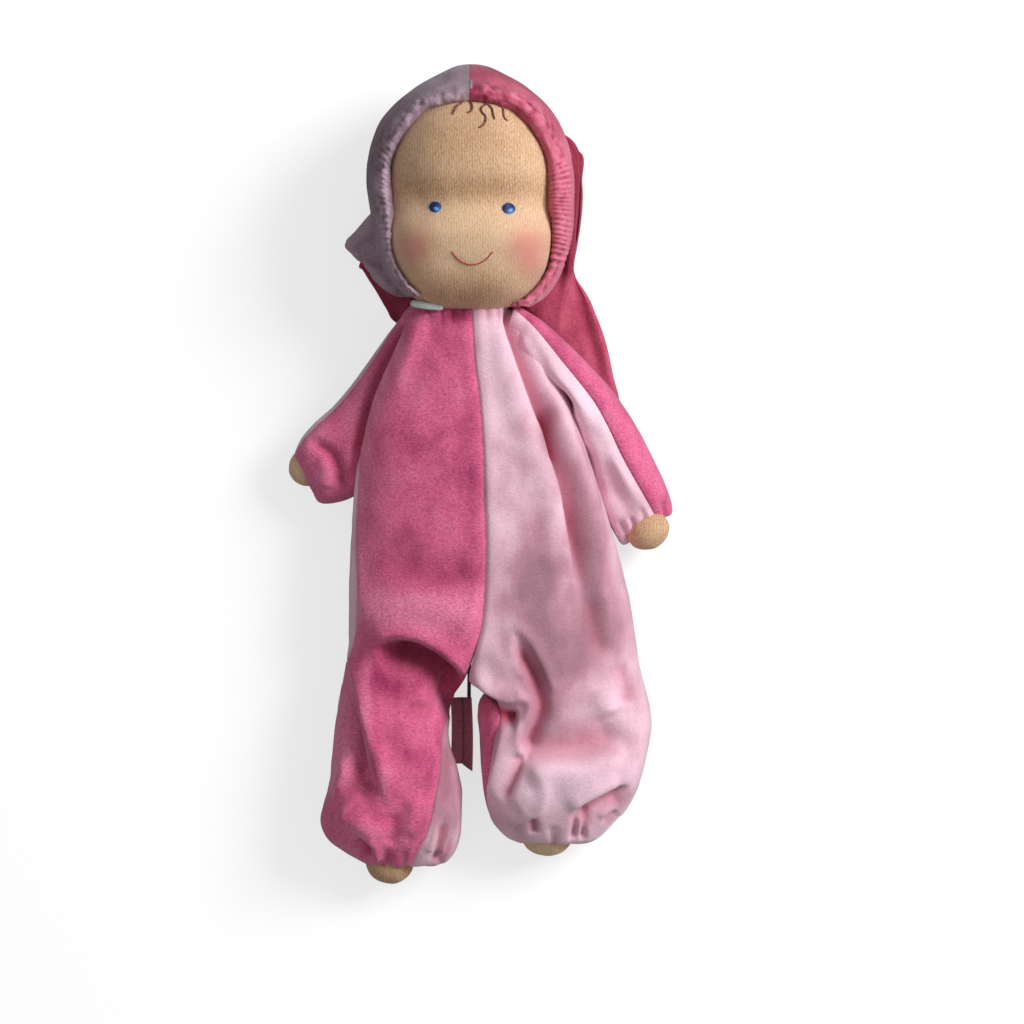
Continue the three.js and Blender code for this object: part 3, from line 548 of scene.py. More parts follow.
def sculpt(net, folds, seed, lumps=0.5, dip=0.55, sides=(True, True), extra=None, patches=(), outward=None,
           hold=1.0):
    """Lifts a net by its folds, lumps and seams, and returns it with its marks for the material: random tone with
    painted light and shade, and painted crease shade.
    """
    lift, deep = fold_field(net, folds)
    for far, held in zip(from_sides(net), sides):
        if held:
            lift = lift * ease(far, 0, 4.5)
            hold = hold * ease(far, 0, 3)
    lift = lift + hold * (lumps * rough(net, 16, seed) + lumps * 0.4 * rough(net, 6, seed + 1))
    lift = lift + border_dip(net, dip, sides)
    if extra is not None:
        lift = lift + hold * extra
    normal = normals_of(net) if outward is None else outward
    made = net + normal * lift[..., None] * MM
    made[..., 2] = np.maximum(made[..., 2], FLOOR_GAP)
    # Random tone of the pile, with the patches of painted light and shade added on top
    nap_and_painted_light = 0.16 * rough(net, 22, seed + 2) + 0.08 * rough(net, 7, seed + 3)
    nap_and_painted_light += patches_at(on_picture(net), patches)
    return made, {"nap_and_painted_light": nap_and_painted_light, "fold_shade": np.clip(deep, 0, 1)}


def gathers(rows, columns, start, count, height, seed):
    """Small folds that run into a gathered end, from the row share start to the last row."""
    along = ease(np.linspace(0, 1, rows), start, 1)[:, None]
    across = np.linspace(0, 1, columns)[None, :]
    drift = np.array([noise.noise(Vector((seed, c * 5, 0))) for c in across[0]])[None, :]
    return height * along * np.cos(2 * math.pi * (count * across + 1.3 * drift))


# Stations of the romper, top to toe: inner u, v, outer u, v, top, middle, floor, leg, inner seam, outer seam
LEFT_VIEW = [
    (471.5, 295, 424, 296, 40, 30, 16, 0, 0, 0), (471.5, 306, 414, 307, 42.5, 31, 16, 0, 0, 0),
    (472.5, 325, 406, 325, 44, 33, 14, 0, 0, 0), (474.5, 360, 391, 360, 44.5, 32, 10, 0, 0, 0),
    (479.5, 400, 374, 399, 44, 29.5, 5, 0, 0, 0), (483, 450, 361, 452, 45, 26, 1, 0, 0, 0),
    (484, 500, 354, 496, 44.5, 22, 0, 0, 0, 0.01), (485.8, 545, 351, 545, 43.5, 19.5, 0, 0, 0, 0.015),
    (484.6, 590, 349.8, 590, 42, 18.5, 0, 0, 0, 0.025), (481, 628, 349.5, 632, 40, 18, 0, 0, 0, 0.02),
    (474, 657, 347.5, 662, 38, 17.5, 0, 0.03, 0, 0), (465, 680, 342, 686, 37, 17, 0, 0.3, 0, 0),
    (454.5, 697, 337.5, 711, 36.5, 17, 0, 0.85, 0, 0), (449, 716, 334.5, 737, 36, 17, 0, 1, 0, 0),
    (449, 739, 332, 762, 36, 17, 0, 1, 0.045, 0), (457, 764, 330, 784, 35.5, 17, 0, 1, 0.12, 0),
    (461.5, 790, 324.5, 803, 35, 17, 0, 1, 0.18, 0), (462, 815, 321, 820, 34, 16.5, 0, 1, 0.215, 0),
    (460, 838, 328, 838, 32, 16, 0, 1, 0.27, 0), (453, 855, 344, 850, 28, 15.5, 1, 1, 0.33, 0),
    (441, 865, 360, 860, 24, 15, 4, 1, 0.35, 0), (424, 865, 371, 864, 21.5, 14.5, 6.5, 1, 0.36, 0),
    (410, 858, 376, 858, 20.5, 14, 7, 1, 0.36, 0), (408, 848, 377, 848, 20, 14, 7.5, 1, 0.36, 0)]

RIGHT_VIEW = [
    (471.5, 295, 515, 297, 40, 30, 16, 0, 0), (471.5, 306, 524, 309, 42.5, 31, 16, 0, 0),
    (472.5, 325, 534, 330, 44, 31, 14, 0, 0), (474.5, 360, 552, 366, 44.5, 27, 10, 0, 0),
    (479.5, 400, 571, 404, 44, 24, 5, 0, 0), (483, 450, 588, 452, 45, 21, 1, 0, 0),
    (484, 500, 603, 503, 44.5, 19, 0, 0, 0), (485.8, 545, 616, 547, 43.5, 18, 0, 0, 0),
    (484.6, 590, 627, 590, 42, 18, 0, 0, 0), (481, 628, 633.5, 632, 40, 18, 0, 0, 0),
    (474, 657, 638.5, 662, 39, 18, 0, 0.03, 0), (468, 681, 645, 684, 38, 18, 0, 0.3, 0.02),
    (474.5, 695, 651, 708, 37, 18, 0, 0.85, 0.12), (477.5, 712, 651.5, 728, 37, 18, 0, 1, 0.125),
    (479.5, 737, 647.5, 748, 37, 18, 0, 1, 0.085), (481, 765, 644, 768, 37.5, 18, 0, 1, 0.05),
    (484, 792, 637, 789, 37, 18, 0, 1, 0.01), (490, 815, 625, 812, 34, 17, 0, 1, 0),
    (500, 831, 610, 828, 30, 16, 2, 1, 0), (514, 841, 594, 840, 26, 15.5, 5, 1, 0),
    (527, 842, 576, 842, 23, 15, 7, 1, 0), (531, 834, 567, 834, 22, 15, 8, 1, 0),
    (532, 824, 566, 824, 21.5, 15, 8.5, 1, 0)]
# Its outer seam lies just round the edge all the way down
RIGHT_VIEW = [(*station, -0.02) for station in RIGHT_VIEW]

# Folds: points, lift, width left of the line, width right of it, depth of painted crease shade, fades
LEFT_FOLDS = [
    ([(356, 612), (400, 606), (440, 612), (476, 628)], 2.2, 26, 18, 0, (0.1, 0.1)),
    ([(373, 651), (393, 646), (413, 649), (430, 657), (446, 669), (459, 682)], -9.5, 6, 22, 0.6, (0.25, 0)),
    ([(378, 656), (400, 652), (424, 662)], -2.2, 8, 16, 0.3, (0.2, 0.3)),
    ([(366, 643), (392, 637), (414, 639), (432, 648), (448, 660), (462, 674)], 3, 15, 6, 0, (0.2, 0)),
    ([(400, 712), (422, 708), (440, 713)], -1.8, 7, 11, 0.22, (0.3, 0.2)),
    ([(352, 640), (354, 662), (359, 689), (366, 725), (376, 768), (388, 798), (398, 812)], 3.2, 24, 5, 0,
     (0.3, 0.25)),
    ([(362, 700), (372, 738), (385, 771), (396, 800)], 1, 7, 5, 0, (0.3, 0.3)),
    ([(352, 672), (354, 700), (359, 735), (367, 768), (376, 792)], -3, 4.5, 12, 0.26, (0.3, 0.3)),
    ([(356, 752), (358, 774), (352, 792), (345, 803)], -1, 6, 6, 0.4, (0.3, 0.3)),
    ([(371, 778), (364, 790), (356, 799)], -2.4, 9, 8, 0.3, (0.3, 0.3)),
    ([(347, 752), (346, 770), (341, 786), (332, 797)], 2.6, 5, 8, 0, (0.3, 0.3)),
    ([(336, 808), (352, 818), (370, 832), (380, 846)], 3, 14, 12, 0, (0.2, 0.3)),
    ([(391, 812), (393, 824), (392, 836), (390, 848)], -1.6, 6, 8, 0, (0.2, 0.2)),
    ([(414, 790), (414, 818), (408, 842)], 2.6, 16, 10, 0, (0.3, 0.3)),
    ([(352, 838), (364, 844), (370, 856)], -2.4, 4, 5, 0.3, (0.3, 0.1)),
    ([(366, 836), (374, 846), (378, 862)], 1.6, 5, 4, 0, (0.3, 0.1)),
    ([(386, 846), (388, 858), (390, 868)], -0.9, 4, 5, 0.08, (0.4, 0)),
    ([(404, 848), (405, 866)], -0.7, 4, 4, 0.06, (0.4, 0)),
    ([(422, 834), (419, 848), (412, 860)], -1, 4, 4, 0.12, (0.4, 0)),
    ([(356, 520), (352, 580), (353, 625)], 1, 14, 8, 0, (0.3, 0.3)),
    ([(420, 315), (412, 350), (396, 385), (388, 412)], 1.8, 9, 12, 0, (0.2, 0.4)),
    ([(470, 470), (420, 500), (372, 498)], -0.8, 22, 22, 0, (0.3, 0.3)),
    ([(478, 560), (430, 572), (372, 560)], -1, 20, 16, 0.05, (0.3, 0.3))]

RIGHT_FOLDS = [
    ([(512, 306), (511, 326), (519, 350), (528, 375), (539, 406), (549, 428), (556, 454), (565, 479),
     (572, 514), (577, 548), (582, 585), (590, 622)], -8.5, 10, 5, 0.4, (0, 0.35)),
    ([(544, 408), (552, 428), (559, 450), (566, 476)], -1.6, 3, 4, 0.9, (0.2, 0.4)),
    ([(500, 318), (504, 350), (518, 400), (538, 460), (553, 510), (560, 560), (562, 600)], 1.6, 14, 14, 0,
     (0.1, 0.3)),
    ([(541, 372), (552, 398), (566, 432), (580, 470), (592, 508), (603, 548), (613, 590)], 2.8, 8, 10, 0,
     (0.2, 0.3)),
    ([(468, 674), (484, 687), (500, 697), (515, 700), (528, 694)], 3.2, 12, 5, 0, (0, 0.1)),
    ([(478, 698), (492, 707), (505, 714), (519, 714)], -5, 4, 10, 0.95, (0.05, 0.2)),
    ([(516, 636), (521, 655), (530, 672), (537, 690), (540, 706), (536, 722), (528, 736), (522, 750)], -4.4, 9,
     6, 0.5, (0.25, 0.1)),
    ([(509, 626), (514, 650), (523, 668), (532, 686), (533, 702), (529, 716), (520, 732), (514, 750)], 1.8, 4,
     7, 0, (0.2, 0.2)),
    ([(512, 622), (528, 640), (540, 662), (550, 684), (558, 698)], 1.8, 8, 3, 0, (0.15, 0.2)),
    ([(520, 752), (545, 751), (570, 751), (594, 745), (613, 738), (630, 726)], -5, 24, 12, 0.4, (0.05, 0.25)),
    ([(520, 753), (518, 766), (511, 783), (503, 802)], -3.4, 5, 7, 0.5, (0.1, 0.2)),
    ([(500, 716), (500, 740), (494, 780), (491, 804)], 2.2, 9, 6, 0, (0.2, 0.2)),
    ([(526, 780), (550, 770), (580, 771), (606, 764), (632, 752)], 3.8, 15, 22, 0, (0.15, 0.2)),
    ([(512, 806), (530, 796), (552, 800)], 1.8, 14, 16, 0, (0.2, 0.2)),
    ([(574, 816), (588, 806), (604, 797), (619, 790), (632, 791)], -5.6, 4, 14, 0.5, (0.15, 0.25)),
    ([(568, 812), (586, 800), (604, 790), (622, 783)], 2.4, 12, 5, 0, (0.2, 0.2)),
    ([(604, 686), (607, 704), (612, 718)], 2.4, 14, 16, 0, (0.25, 0.25)),
    ([(620, 660), (627, 686), (630, 706)], -2, 6, 9, 0.32, (0.25, 0.25)),
    ([(588, 590), (595, 630), (604, 662)], -2, 8, 9, 0.26, (0.3, 0.3)),
    ([(598, 560), (606, 600), (616, 640), (628, 668)], 1.6, 12, 8, 0, (0.3, 0.3)),
    ([(532, 818), (534, 826), (535, 834)], -2.4, 3, 4, 0.4, (0.3, 0.1)),
    ([(577, 813), (576, 824), (574, 836)], -2.8, 3, 4, 0.4, (0.2, 0)),
    ([(586, 808), (585, 822), (583, 836)], -2.4, 3, 3, 0.4, (0.2, 0)),
    ([(602, 826), (612, 818), (620, 812)], -1.6, 2.5, 4, 0.25, (0.3, 0.2)),
    ([(598, 820), (608, 812), (618, 806)], 1.2, 3, 4, 0, (0.3, 0.2)),
    ([(552, 824), (554, 842)], -1.2, 4, 4, 0.12, (0.4, 0)),
    ([(514, 824), (519, 840)], -1.2, 4, 4, 0.12, (0.4, 0)),
    ([(488, 640), (498, 662), (510, 684)], 1.4, 12, 12, 0, (0.3, 0.3))]

# The pale cloth that shows beside the viewer-left leg
BACK_FOLDS = [
    ([(446, 800), (447, 825), (442, 850)], 1.6, 6, 6, 0, (0.3, 0)),
    ([(441, 820), (441, 840), (436, 858)], -2, 3, 4, 0.5, (0.3, 0)),
    ([(434, 812), (434, 832), (428, 852)], 1.6, 4, 4, 0, (0.3, 0.1)),
    ([(449, 834), (447, 850), (440, 862)], -1.4, 3, 3, 0.3, (0.3, 0)),
    ([(447, 740), (446, 780), (442, 812)], -0.6, 7, 7, 0.2, (0.2, 0.2))]
# Painted shade down the pale inner strip and painted light along the left edge
BACK_PATCHES = [(446, 790, 16, 70, -0.5), (358, 560, 12, 100, 0.1)]

NECK_TUCKS = [([(u, 300), (u + 1, 316), (u + 2, 330)], -0.7, 2.4, 2.4, 0.14, (0.0, 0.75))
              for u in (428, 440, 451, 462, 486, 497, 507)]

# Painted light and shade on the velour, partly pile that lies lighter or darker: lighter rims along edges, darker
# patches in hollows and under the chin. Columns: u, v, width, height, value
LEFT_PATCHES = [
    (405, 350, 30, 40, 0.1), (372, 500, 16, 110, 0.16), (425, 609, 60, 16, 0.46), (430, 572, 50, 16, -0.1),
    (470, 500, 14, 80, -0.06), (402, 686, 34, 16, -0.24), (456, 314, 18, 9, -0.34), (398, 344, 5, 16, 0.26),
    (385, 374, 5, 17, 0.34), (376, 404, 5, 20, 0.34), (366, 440, 6, 24, 0.34), (359, 482, 6, 26, 0.34),
    (356, 560, 7, 60, 0.3), (352, 640, 6, 24, 0.2), (368, 720, 5, 60, 0.3), (384, 780, 5, 24, 0.26),
    (346, 736, 12, 50, 0.62), (334, 780, 8, 26, 0.4), (352, 690, 8, 20, 0.2), (366, 832, 22, 12, 0.24),
    (404, 826, 9, 26, 0.16), (424, 838, 9, 16, -0.16), (474, 650, 14, 26, -0.1), (440, 655, 16, 14, -0.2),
    (390, 830, 20, 16, -0.12)]
RIGHT_PATCHES = [
    (495, 314, 22, 9, -0.2), (505, 350, 20, 40, 0.12), (536, 570, 22, 70, -0.32), (500, 610, 10, 50, -0.12),
    (550, 652, 38, 52, -0.36), (592, 590, 16, 80, -0.5), (618, 622, 12, 44, -0.3), (606, 708, 12, 16, 0.16),
    (560, 785, 46, 26, 0.56), (500, 760, 9, 40, -0.16), (636, 690, 8, 50, -0.1), (540, 742, 60, 12, -0.12),
    (585, 822, 24, 10, -0.12), (612, 800, 20, 12, -0.14), (520, 825, 18, 10, -0.06), (578, 470, 12, 60, -0.1),
    (549, 430, 8, 26, -0.5), (520, 590, 24, 36, -0.2)]


def add_panels(pieces, cloths, nodes):
    for piece, word, cloth in zip(pieces, ("front", "back"), cloths):
        belongs(piece, None, [node.format(word) for node in nodes])
        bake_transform(piece)


def add_romper(side, stations, folds, patches, front_cloth, back_cloth, seed):
    rows, columns = 210, 84
    front, back = loft(side, stations, rows, columns)
    right = side == "right"
    tucks = gathers(rows, columns, 0.86, 7, 0.4 if right else 0.7, seed)
    made, marks = sculpt(front, folds + NECK_TUCKS, seed, extra=tucks, patches=patches)
    front_piece = cloth_mesh(f"romper_front_panel_{side}", made, front_cloth, marks=marks)
    tucks = gathers(rows, columns, 0.86, 9, 0.8, seed + 5)
    folds, patches = (BACK_FOLDS, BACK_PATCHES) if right else ((), ())
    made, marks = sculpt(back, folds, seed + 9, extra=tucks, patches=patches)
    back_piece = cloth_mesh(f"romper_back_panel_{side}", made, back_cloth, marks=marks)
    nodes = [f"romper_{{}}_{side}", f"leg_{{}}_{side}", "torso_stuffing", f"leg_stuffing_{side}"]
    add_panels((front_piece, back_piece), (front_cloth, back_cloth), nodes)


add_romper("right", LEFT_VIEW, LEFT_FOLDS, LEFT_PATCHES, DARK, PALE, 11)
add_romper("left", RIGHT_VIEW, RIGHT_FOLDS, RIGHT_PATCHES, PALE, DARK, 23)

# The sleeves

# Stations of the sleeves: inner u, v (towards the body), outer u, v, top, middle, floor, outer seam
LEFT_SLEEVE = [
    (428, 318, 414, 302, 35, 30, 18, 0), (424, 345, 402, 316, 35.5, 28, 15, 0),
    (414, 378, 388, 334, 33.5, 24, 12, 0.01), (404, 408, 372, 358, 30.5, 20, 8, 0.02),
    (394, 438, 354, 383, 28.5, 17, 4, 0.025), (383, 465, 334, 406, 27, 15, 1.5, 0.03),
    (368, 486, 316, 422, 26, 14, 0, 0.03), (350, 498, 304, 436, 25, 13.5, 0, 0.02),
    (332, 503, 297, 448, 22.5, 12.5, 1, 0.01), (319, 502, 295, 455, 18, 11.5, 3.5, 0),
    (314, 492, 300, 459, 15.5, 11, 5.5, 0), (318, 482, 307, 461, 14.5, 11, 6.5, 0)]

RIGHT_SLEEVE = [
    (506, 330, 516, 304, 37, 30, 18, 0.16), (521, 350, 544, 322, 39, 29, 15, 0.3),
    (538, 374, 570, 346, 38, 27, 12, 0.38), (555, 397, 593, 369, 36.5, 24, 8, 0.42),
    (570, 421, 613, 391, 34.5, 21, 5, 0.43), (580, 449, 629, 415, 32, 18, 2, 0.42),
    (588, 478, 644, 441, 29.5, 16, 0, 0.41), (599, 506, 657, 466, 26.5, 14.5, 0, 0.38),
    (612, 529, 667, 489, 22.5, 13, 0.5, 0.35), (621, 543, 671.5, 504, 17.5, 11, 2.5, 0.32),
    (628, 543, 672, 513, 14, 10, 4, 0.3), (634, 538, 667, 516, 12.5, 9.5, 5, 0.3),
    (634, 532, 659, 512, 12, 9.5, 5.5, 0.3)]

LEFT_SLEEVE_FOLDS = [
    ([(306, 444), (320, 446), (333, 457), (340, 473), (342, 492)], -2.4, 6, 5, 0.45, (0.2, 0.2)),
    ([(316, 458), (326, 470), (326, 490)], 1.4, 8, 8, 0, (0.2, 0.2)),
    ([(392, 402), (372, 430), (352, 456)], -1.6, 7, 7, 0.15, (0.3, 0.3)),
    ([(365, 425), (350, 448), (346, 478)], 1.2, 8, 8, 0, (0.3, 0.3)),
    ([(409, 318), (398, 338), (388, 356), (379, 374), (372, 393), (366, 416), (360, 437), (355, 458),
     (352, 474)], -1.4, 7, 7, 0.62, (0.1, 0.4))]

RIGHT_SLEEVE_FOLDS = [
    ([(549, 390), (557, 393), (565, 403), (572, 418)], -3.6, 7, 7, 0.8, (0.5, 0.4)),
    ([(540, 362), (562, 378), (580, 404), (592, 438)], 2.6, 9, 8, 0, (0.3, 0.3)),
    ([(520, 330), (530, 352), (541, 375), (549, 392)], 1.6, 5, 5, 0, (0.2, 0.4)),
    ([(600, 455), (614, 490), (634, 520)], -1.8, 9, 9, 0.12, (0.3, 0.3)),
    ([(612, 445), (628, 478), (642, 500)], 1.4, 8, 8, 0, (0.3, 0.3)),
    ([(583, 440), (592, 470), (606, 505)], -1.4, 6, 6, 0.14, (0.3, 0.3)),
    ([(618, 520), (628, 538)], -1.4, 4, 4, 0.2, (0.3, 0)),
    ([(640, 506), (646, 520)], -1.2, 3, 3, 0.2, (0.3, 0)),
    ([(630, 516), (636, 532)], -1.2, 3, 3, 0.2, (0.3, 0)),
    ([(662, 500), (665, 516)], -1.2, 3, 3, 0.2, (0.3, 0))]

# Painted light and shade on the sleeves, as above
LEFT_SLEEVE_PATCHES = [
    (365, 385, 10, 50, 0.16), (352, 415, 14, 30, 0.16), (320, 432, 14, 12, 0.2), (326, 476, 12, 14, 0.16),
    (350, 465, 8, 16, 0.1)]
RIGHT_SLEEVE_PATCHES = [
    (588, 424, 22, 44, 0.58), (545, 355, 18, 30, 0.2), (618, 486, 14, 20, -0.05), (634, 514, 20, 14, -0.1),
    (600, 400, 30, 60, 0.1)]


def add_sleeve(side, stations, folds, patches, front_cloth, back_cloth, seed):
    rows, columns = 120, 56
    front, back = loft(side, [(*row[:7], 1, -0.05, row[7]) for row in stations], rows, columns)
    tucks = gathers(rows, columns, 0.84, 5, 0.4, seed)
    made, marks = sculpt(front, folds, seed, lumps=0.4, extra=tucks, patches=patches)
    front_piece = cloth_mesh(f"sleeve_front_panel_{side}", made, front_cloth, 1.0, marks)
    made, marks = sculpt(back, folds, seed + 4, lumps=0.3, extra=tucks)
    back_piece = cloth_mesh(f"sleeve_back_panel_{side}", made, back_cloth, 1.0, marks)
    add_panels((front_piece, back_piece), (front_cloth, back_cloth),
               [f"sleeve_{{}}_{side}", f"arm_stuffing_{side}"])


add_sleeve("right", LEFT_SLEEVE, LEFT_SLEEVE_FOLDS, LEFT_SLEEVE_PATCHES, DARK, PALE, 31)
add_sleeve("left", RIGHT_SLEEVE, RIGHT_SLEEVE_FOLDS, RIGHT_SLEEVE_PATCHES, PALE, DARK, 43)

# Knit hands and feet


def add_ball(name, body, nodes, u, v, z, radii, turn, seed, shade=0.0):
    """A knit ball that narrows into its cuff, turned so that its end points away from the limb, and darkened evenly
    by painted shade.
    """
    rows, columns = 44, 64
    lat = np.linspace(0.02, math.pi - 0.02, rows)[:, None]
    lon = around(columns)[None, :]
    local = np.stack([np.sin(lat) * np.cos(lon), -np.cos(lat) * np.ones_like(lon), np.sin(lat) * np.sin(lon)], -1)
    local = local * np.array(radii)
    local = np.stack([*turned_by(local[..., 0], local[..., 1], turn), local[..., 2]], -1)
    points = local * MM + np.array(at(u, v, z))
    out = local / np.linalg.norm(local, axis=-1, keepdims=True)
    points += out * (0.25 * rough(points, 4, seed))[..., None] * MM
    points[..., 2] = np.maximum(points[..., 2], UNDER_GAP)
    piece = new_mesh(name, points.reshape(-1, 3), ring_faces(rows, columns, True), SKIN,
                     {"shade": np.full(rows * columns, shade)})
    belongs(piece, body, nodes)


# The last number of a hand or foot that lies in shade is its painted shade
add_ball("hand_ball_right", "arm_right", ["hand_right"], 307, 467, 12.2, (6.7, 7.0, 6.6), -0.5, 3)
add_ball("hand_ball_left", "arm_left", ["hand_left"], 648, 530.5, 13.4, (8.1, 7.0, 8.2), 0.55, 4, 0.2)
add_ball("foot_ball_right", "leg_right", ["foot_right"], 390, 861, 13.5, (9.0, 8.4, 8.2), 0.0, 5, 0.3)
add_ball("foot_ball_left", "leg_left", ["foot_left"], 547, 834, 14.5, (9.9, 8.0, 8.4), 0.0, 6)

# The head

HEAD = (0.0, 103.6, 35.8)
HALF = (31.0, 40.8, 30.0)
ROUND = 2.2

# How high the flat back of the head and the middle of the neck lie, in metres
HEAD_BACK, NECK_HEIGHT = 0.012, 0.0348

# Half sizes of the round that the hood follows behind the head, and heights of its rim, bend, edge and side
HOOD_HALF = (35.5, 44, 31.0)
RIM_LEVEL, HOOD_BEND, HOOD_EDGE, HOOD_SIDE = 48, 38, 35.0, 27.0


def outline_of(angle):
    """How far the head reaches in each direction of the face, in millimetres."""
    c, s = np.abs(np.cos(angle)), np.abs(np.sin(angle))
    power = 2.1 + 0.65 * ease(-np.sin(angle), -0.15, 0.5)
    low = 1 + 0.03 * ease(-np.sin(angle), 0.4, 1)
    return low * ((c / HALF[0]) ** power + (s / HALF[1]) ** power) ** (-1 / power)


def skin_height(x, y):
    """The height of the plain head at a place of the face, in millimetres."""
    dx, dy = x - HEAD[0], y - HEAD[1]
    share = np.hypot(dx, dy) / outline_of(np.arctan2(dy, dx))
    return HEAD[2] + HALF[2] * np.clip(1 - np.clip(share, 0, 1) ** ROUND, 0, 1) ** (1 / ROUND)


FACE_FOLDS = [
    ([(380, 207), (410, 205), (440, 204), (472, 204), (504, 204), (534, 205), (562, 207)], -4.4, 30, 16, 0,
     (0.2, 0.22)),
    ([(384, 236), (420, 234), (472, 235), (524, 234), (556, 236)], 0.9, 12, 24, 0, (0.05, 0.05)),
    ([(404, 250), (414, 262)], 0.8, 18, 18, 0, (0, 0)),
    ([(526, 250), (536, 262)], 0.8, 18, 18, 0, (0, 0)),
    ([(446, 262), (473, 272), (500, 262)], -0.3, 10, 10, 0, (0, 0))]


# Patches of the face, as above: for its blush, and for painted shade on the forehead, along the eyes, on the chin and
# a cheek
BLUSHES = [(414, 248, 18, 19, 0.52), (528, 246, 22, 19, 0.6), (531, 268, 16, 12, 0.28)]
SHADES = [
    (470, 142, 90, 40, 0.22), (474, 188, 90, 15, 0.27), (474, 280, 60, 16, 0.2), (474, 300, 66, 14, 0.3),
    (540, 275, 14, 18, 0.14)]


def add_head():
    rows, columns = 150, 240
    lat = np.linspace(0.004, math.pi - 0.02, rows)[:, None]
    lon = around(columns)[None, :]
    reach = outline_of(lon)
    round_share = np.sin(lat) ** (2 / ROUND)
    net = np.stack([
        HEAD[0] + reach * round_share * np.cos(lon),
        HEAD[1] + reach * round_share * np.sin(lon),
        HEAD[2] + HALF[2] * power_of(np.cos(lat), ROUND) * np.ones_like(lon)], -1) * MM
    normal = ring_normals(net)
    lift, _ = fold_field(net, FACE_FOLDS)
    held = 0.35 + 0.65 * ease(net[..., 2] / MM - HEAD[2], 1, 15)
    lift = lift * held * (net[..., 2] > HEAD[2] * MM - 0.004) + 0.12 * rough(net, 5, 2) + 0.25 * rough(net, 14, 3)
    net = net + normal * lift[..., None] * MM
    under = 1 - 0.1 * ease(HEAD[2] - net[..., 2] / MM, 3, 16)
    net[..., 0] *= under
    net[..., 1] = HEAD[1] * MM + (net[..., 1] - HEAD[1] * MM) * under
    net[..., 2] = np.maximum(net[..., 2], HEAD_BACK)
    spots, above = on_picture(net), net[..., 2] > HEAD[2] * MM
    marks = {"blush": patches_at(spots, BLUSHES, 1.3) * above, "shade": patches_at(spots, SHADES) * above}
    piece = new_mesh("head_knit", net.reshape(-1, 3), ring_faces(rows, columns), SKIN, marks)
    belongs(piece, "head", ["head_skin", "head_stuffing", "eye_line_thread"])
    return net


# The face, with the rows that its stitches lie on
FACE = add_head()
FRONT = FACE[:80].reshape(-1, 3)
FRONT_SPOTS = on_picture(FRONT)


def on_face(u, v, lift=0.0):
    """The place on the sculpted face at the picture's point (u, v), moved out by lift millimetres."""
    far = np.hypot(FRONT_SPOTS[:, 0] - u, FRONT_SPOTS[:, 1] - v)
    near = np.argsort(far)[:6]
    weight = 1 / (far[near] + 0.3)
    z = float((FRONT[near, 2] * weight).sum() / weight.sum()) / MM
    return np.array(at(u, v, z + lift))


def face_normal(u, v):
    a, b = on_face(u + 4, v) - on_face(u - 4, v), on_face(u, v - 4) - on_face(u, v + 4)
    out = np.cross(a, b)
    return out / np.linalg.norm(out)


def add_eye(side, u, v, wide, high, tilt):
    """A satin-stitched eye: a low dome of threads with a painted highlight at its lower right, ringed by short pale
    stitches.
    """
    rows, columns = 16, 48
    rho = np.linspace(0.02, 1, rows)[:, None]
    lon = around(columns)[None, :]
    c, s = math.cos(tilt), math.sin(tilt)
    eu, ev = turned_by(rho * np.cos(lon) * wide / 2, rho * np.sin(lon) * high / 2, tilt)
    out = face_normal(u, v)
    points = np.zeros((rows, columns, 3))
    shine = np.zeros((rows, columns))
    for i in range(rows):
        for j in range(columns):
            height = 0.75 * (1 - rho[i, 0] ** 2.4) + 0.05 * math.sin((ev[i, j] + 0.4 * eu[i, j]) * 5.2)
            points[i, j] = on_face(u + eu[i, j], v + ev[i, j], 0.0) + out * (height - 0.08) * MM
            # Painted highlight towards the lower right of the eye
            shine[i, j] = math.exp(-((eu[i, j] - 1.9) / 2.8) ** 2 - ((ev[i, j] - 2.2) / 2.2) ** 2)
    net = np.concatenate([points, points[-1:] - out * 0.5 * MM], 0)
    faces = ring_faces(rows + 1, columns)
    faces = [tuple(reversed(face)) for face in faces[:-2]] + faces[-2:]
    piece = new_mesh(f"eye_satin_{side}", net.reshape(-1, 3), faces, NAVY,
                     {"shine": np.concatenate([shine, shine[-1:]], 0)})
    piece.data.flip_normals()
    belongs(piece, "head", [f"eye_{side}"])
    stitches = []
    for k in range(22):
        a = 2 * math.pi * k / 22 + 0.1 * math.sin(k * 2.3)
        ring = [(wide / 2 + d) * math.cos(a + t) for d, t in ((0.1, -0.12), (0.9, 0.1))]
        rise = [(high / 2 + d) * math.sin(a + t) for d, t in ((0.1, -0.12), (0.9, 0.1))]
        stitches.append([on_face(u + ring[m] * c - rise[m] * s, v + ring[m] * s + rise[m] * c, 0.06) for m in (0, 1)])
    add_stitches(f"eye_edge_{side}", stitches, 0.12, SKY)


def add_stitches(name, stitches, radius, material, nodes=()):
    """Short stitches on the head joined in one piece, each a little rounded bar between its two ends."""
    points, faces = [], []
    for a, b in stitches:
        axis = (b - a) / np.linalg.norm(b - a)
        side = np.cross(axis, (0, 0, 1))
        side /= np.linalg.norm(side)
        rise = np.cross(side, axis)
        start = len(points)
        for t, w in zip((0, 0.12, 0.5, 0.88, 1), (0.35, 0.85, 1, 0.85, 0.35)):
            for j in range(6):
                turn = 2 * math.pi * j / 6
                points.append(a + (b - a) * t + (side * math.cos(turn) + rise * math.sin(turn)) * radius * w * MM)
        faces += [tuple(start + corner for corner in face) for face in ring_faces(5, 6)]
    belongs(new_mesh(name, np.array(points), faces, material), "head", nodes)


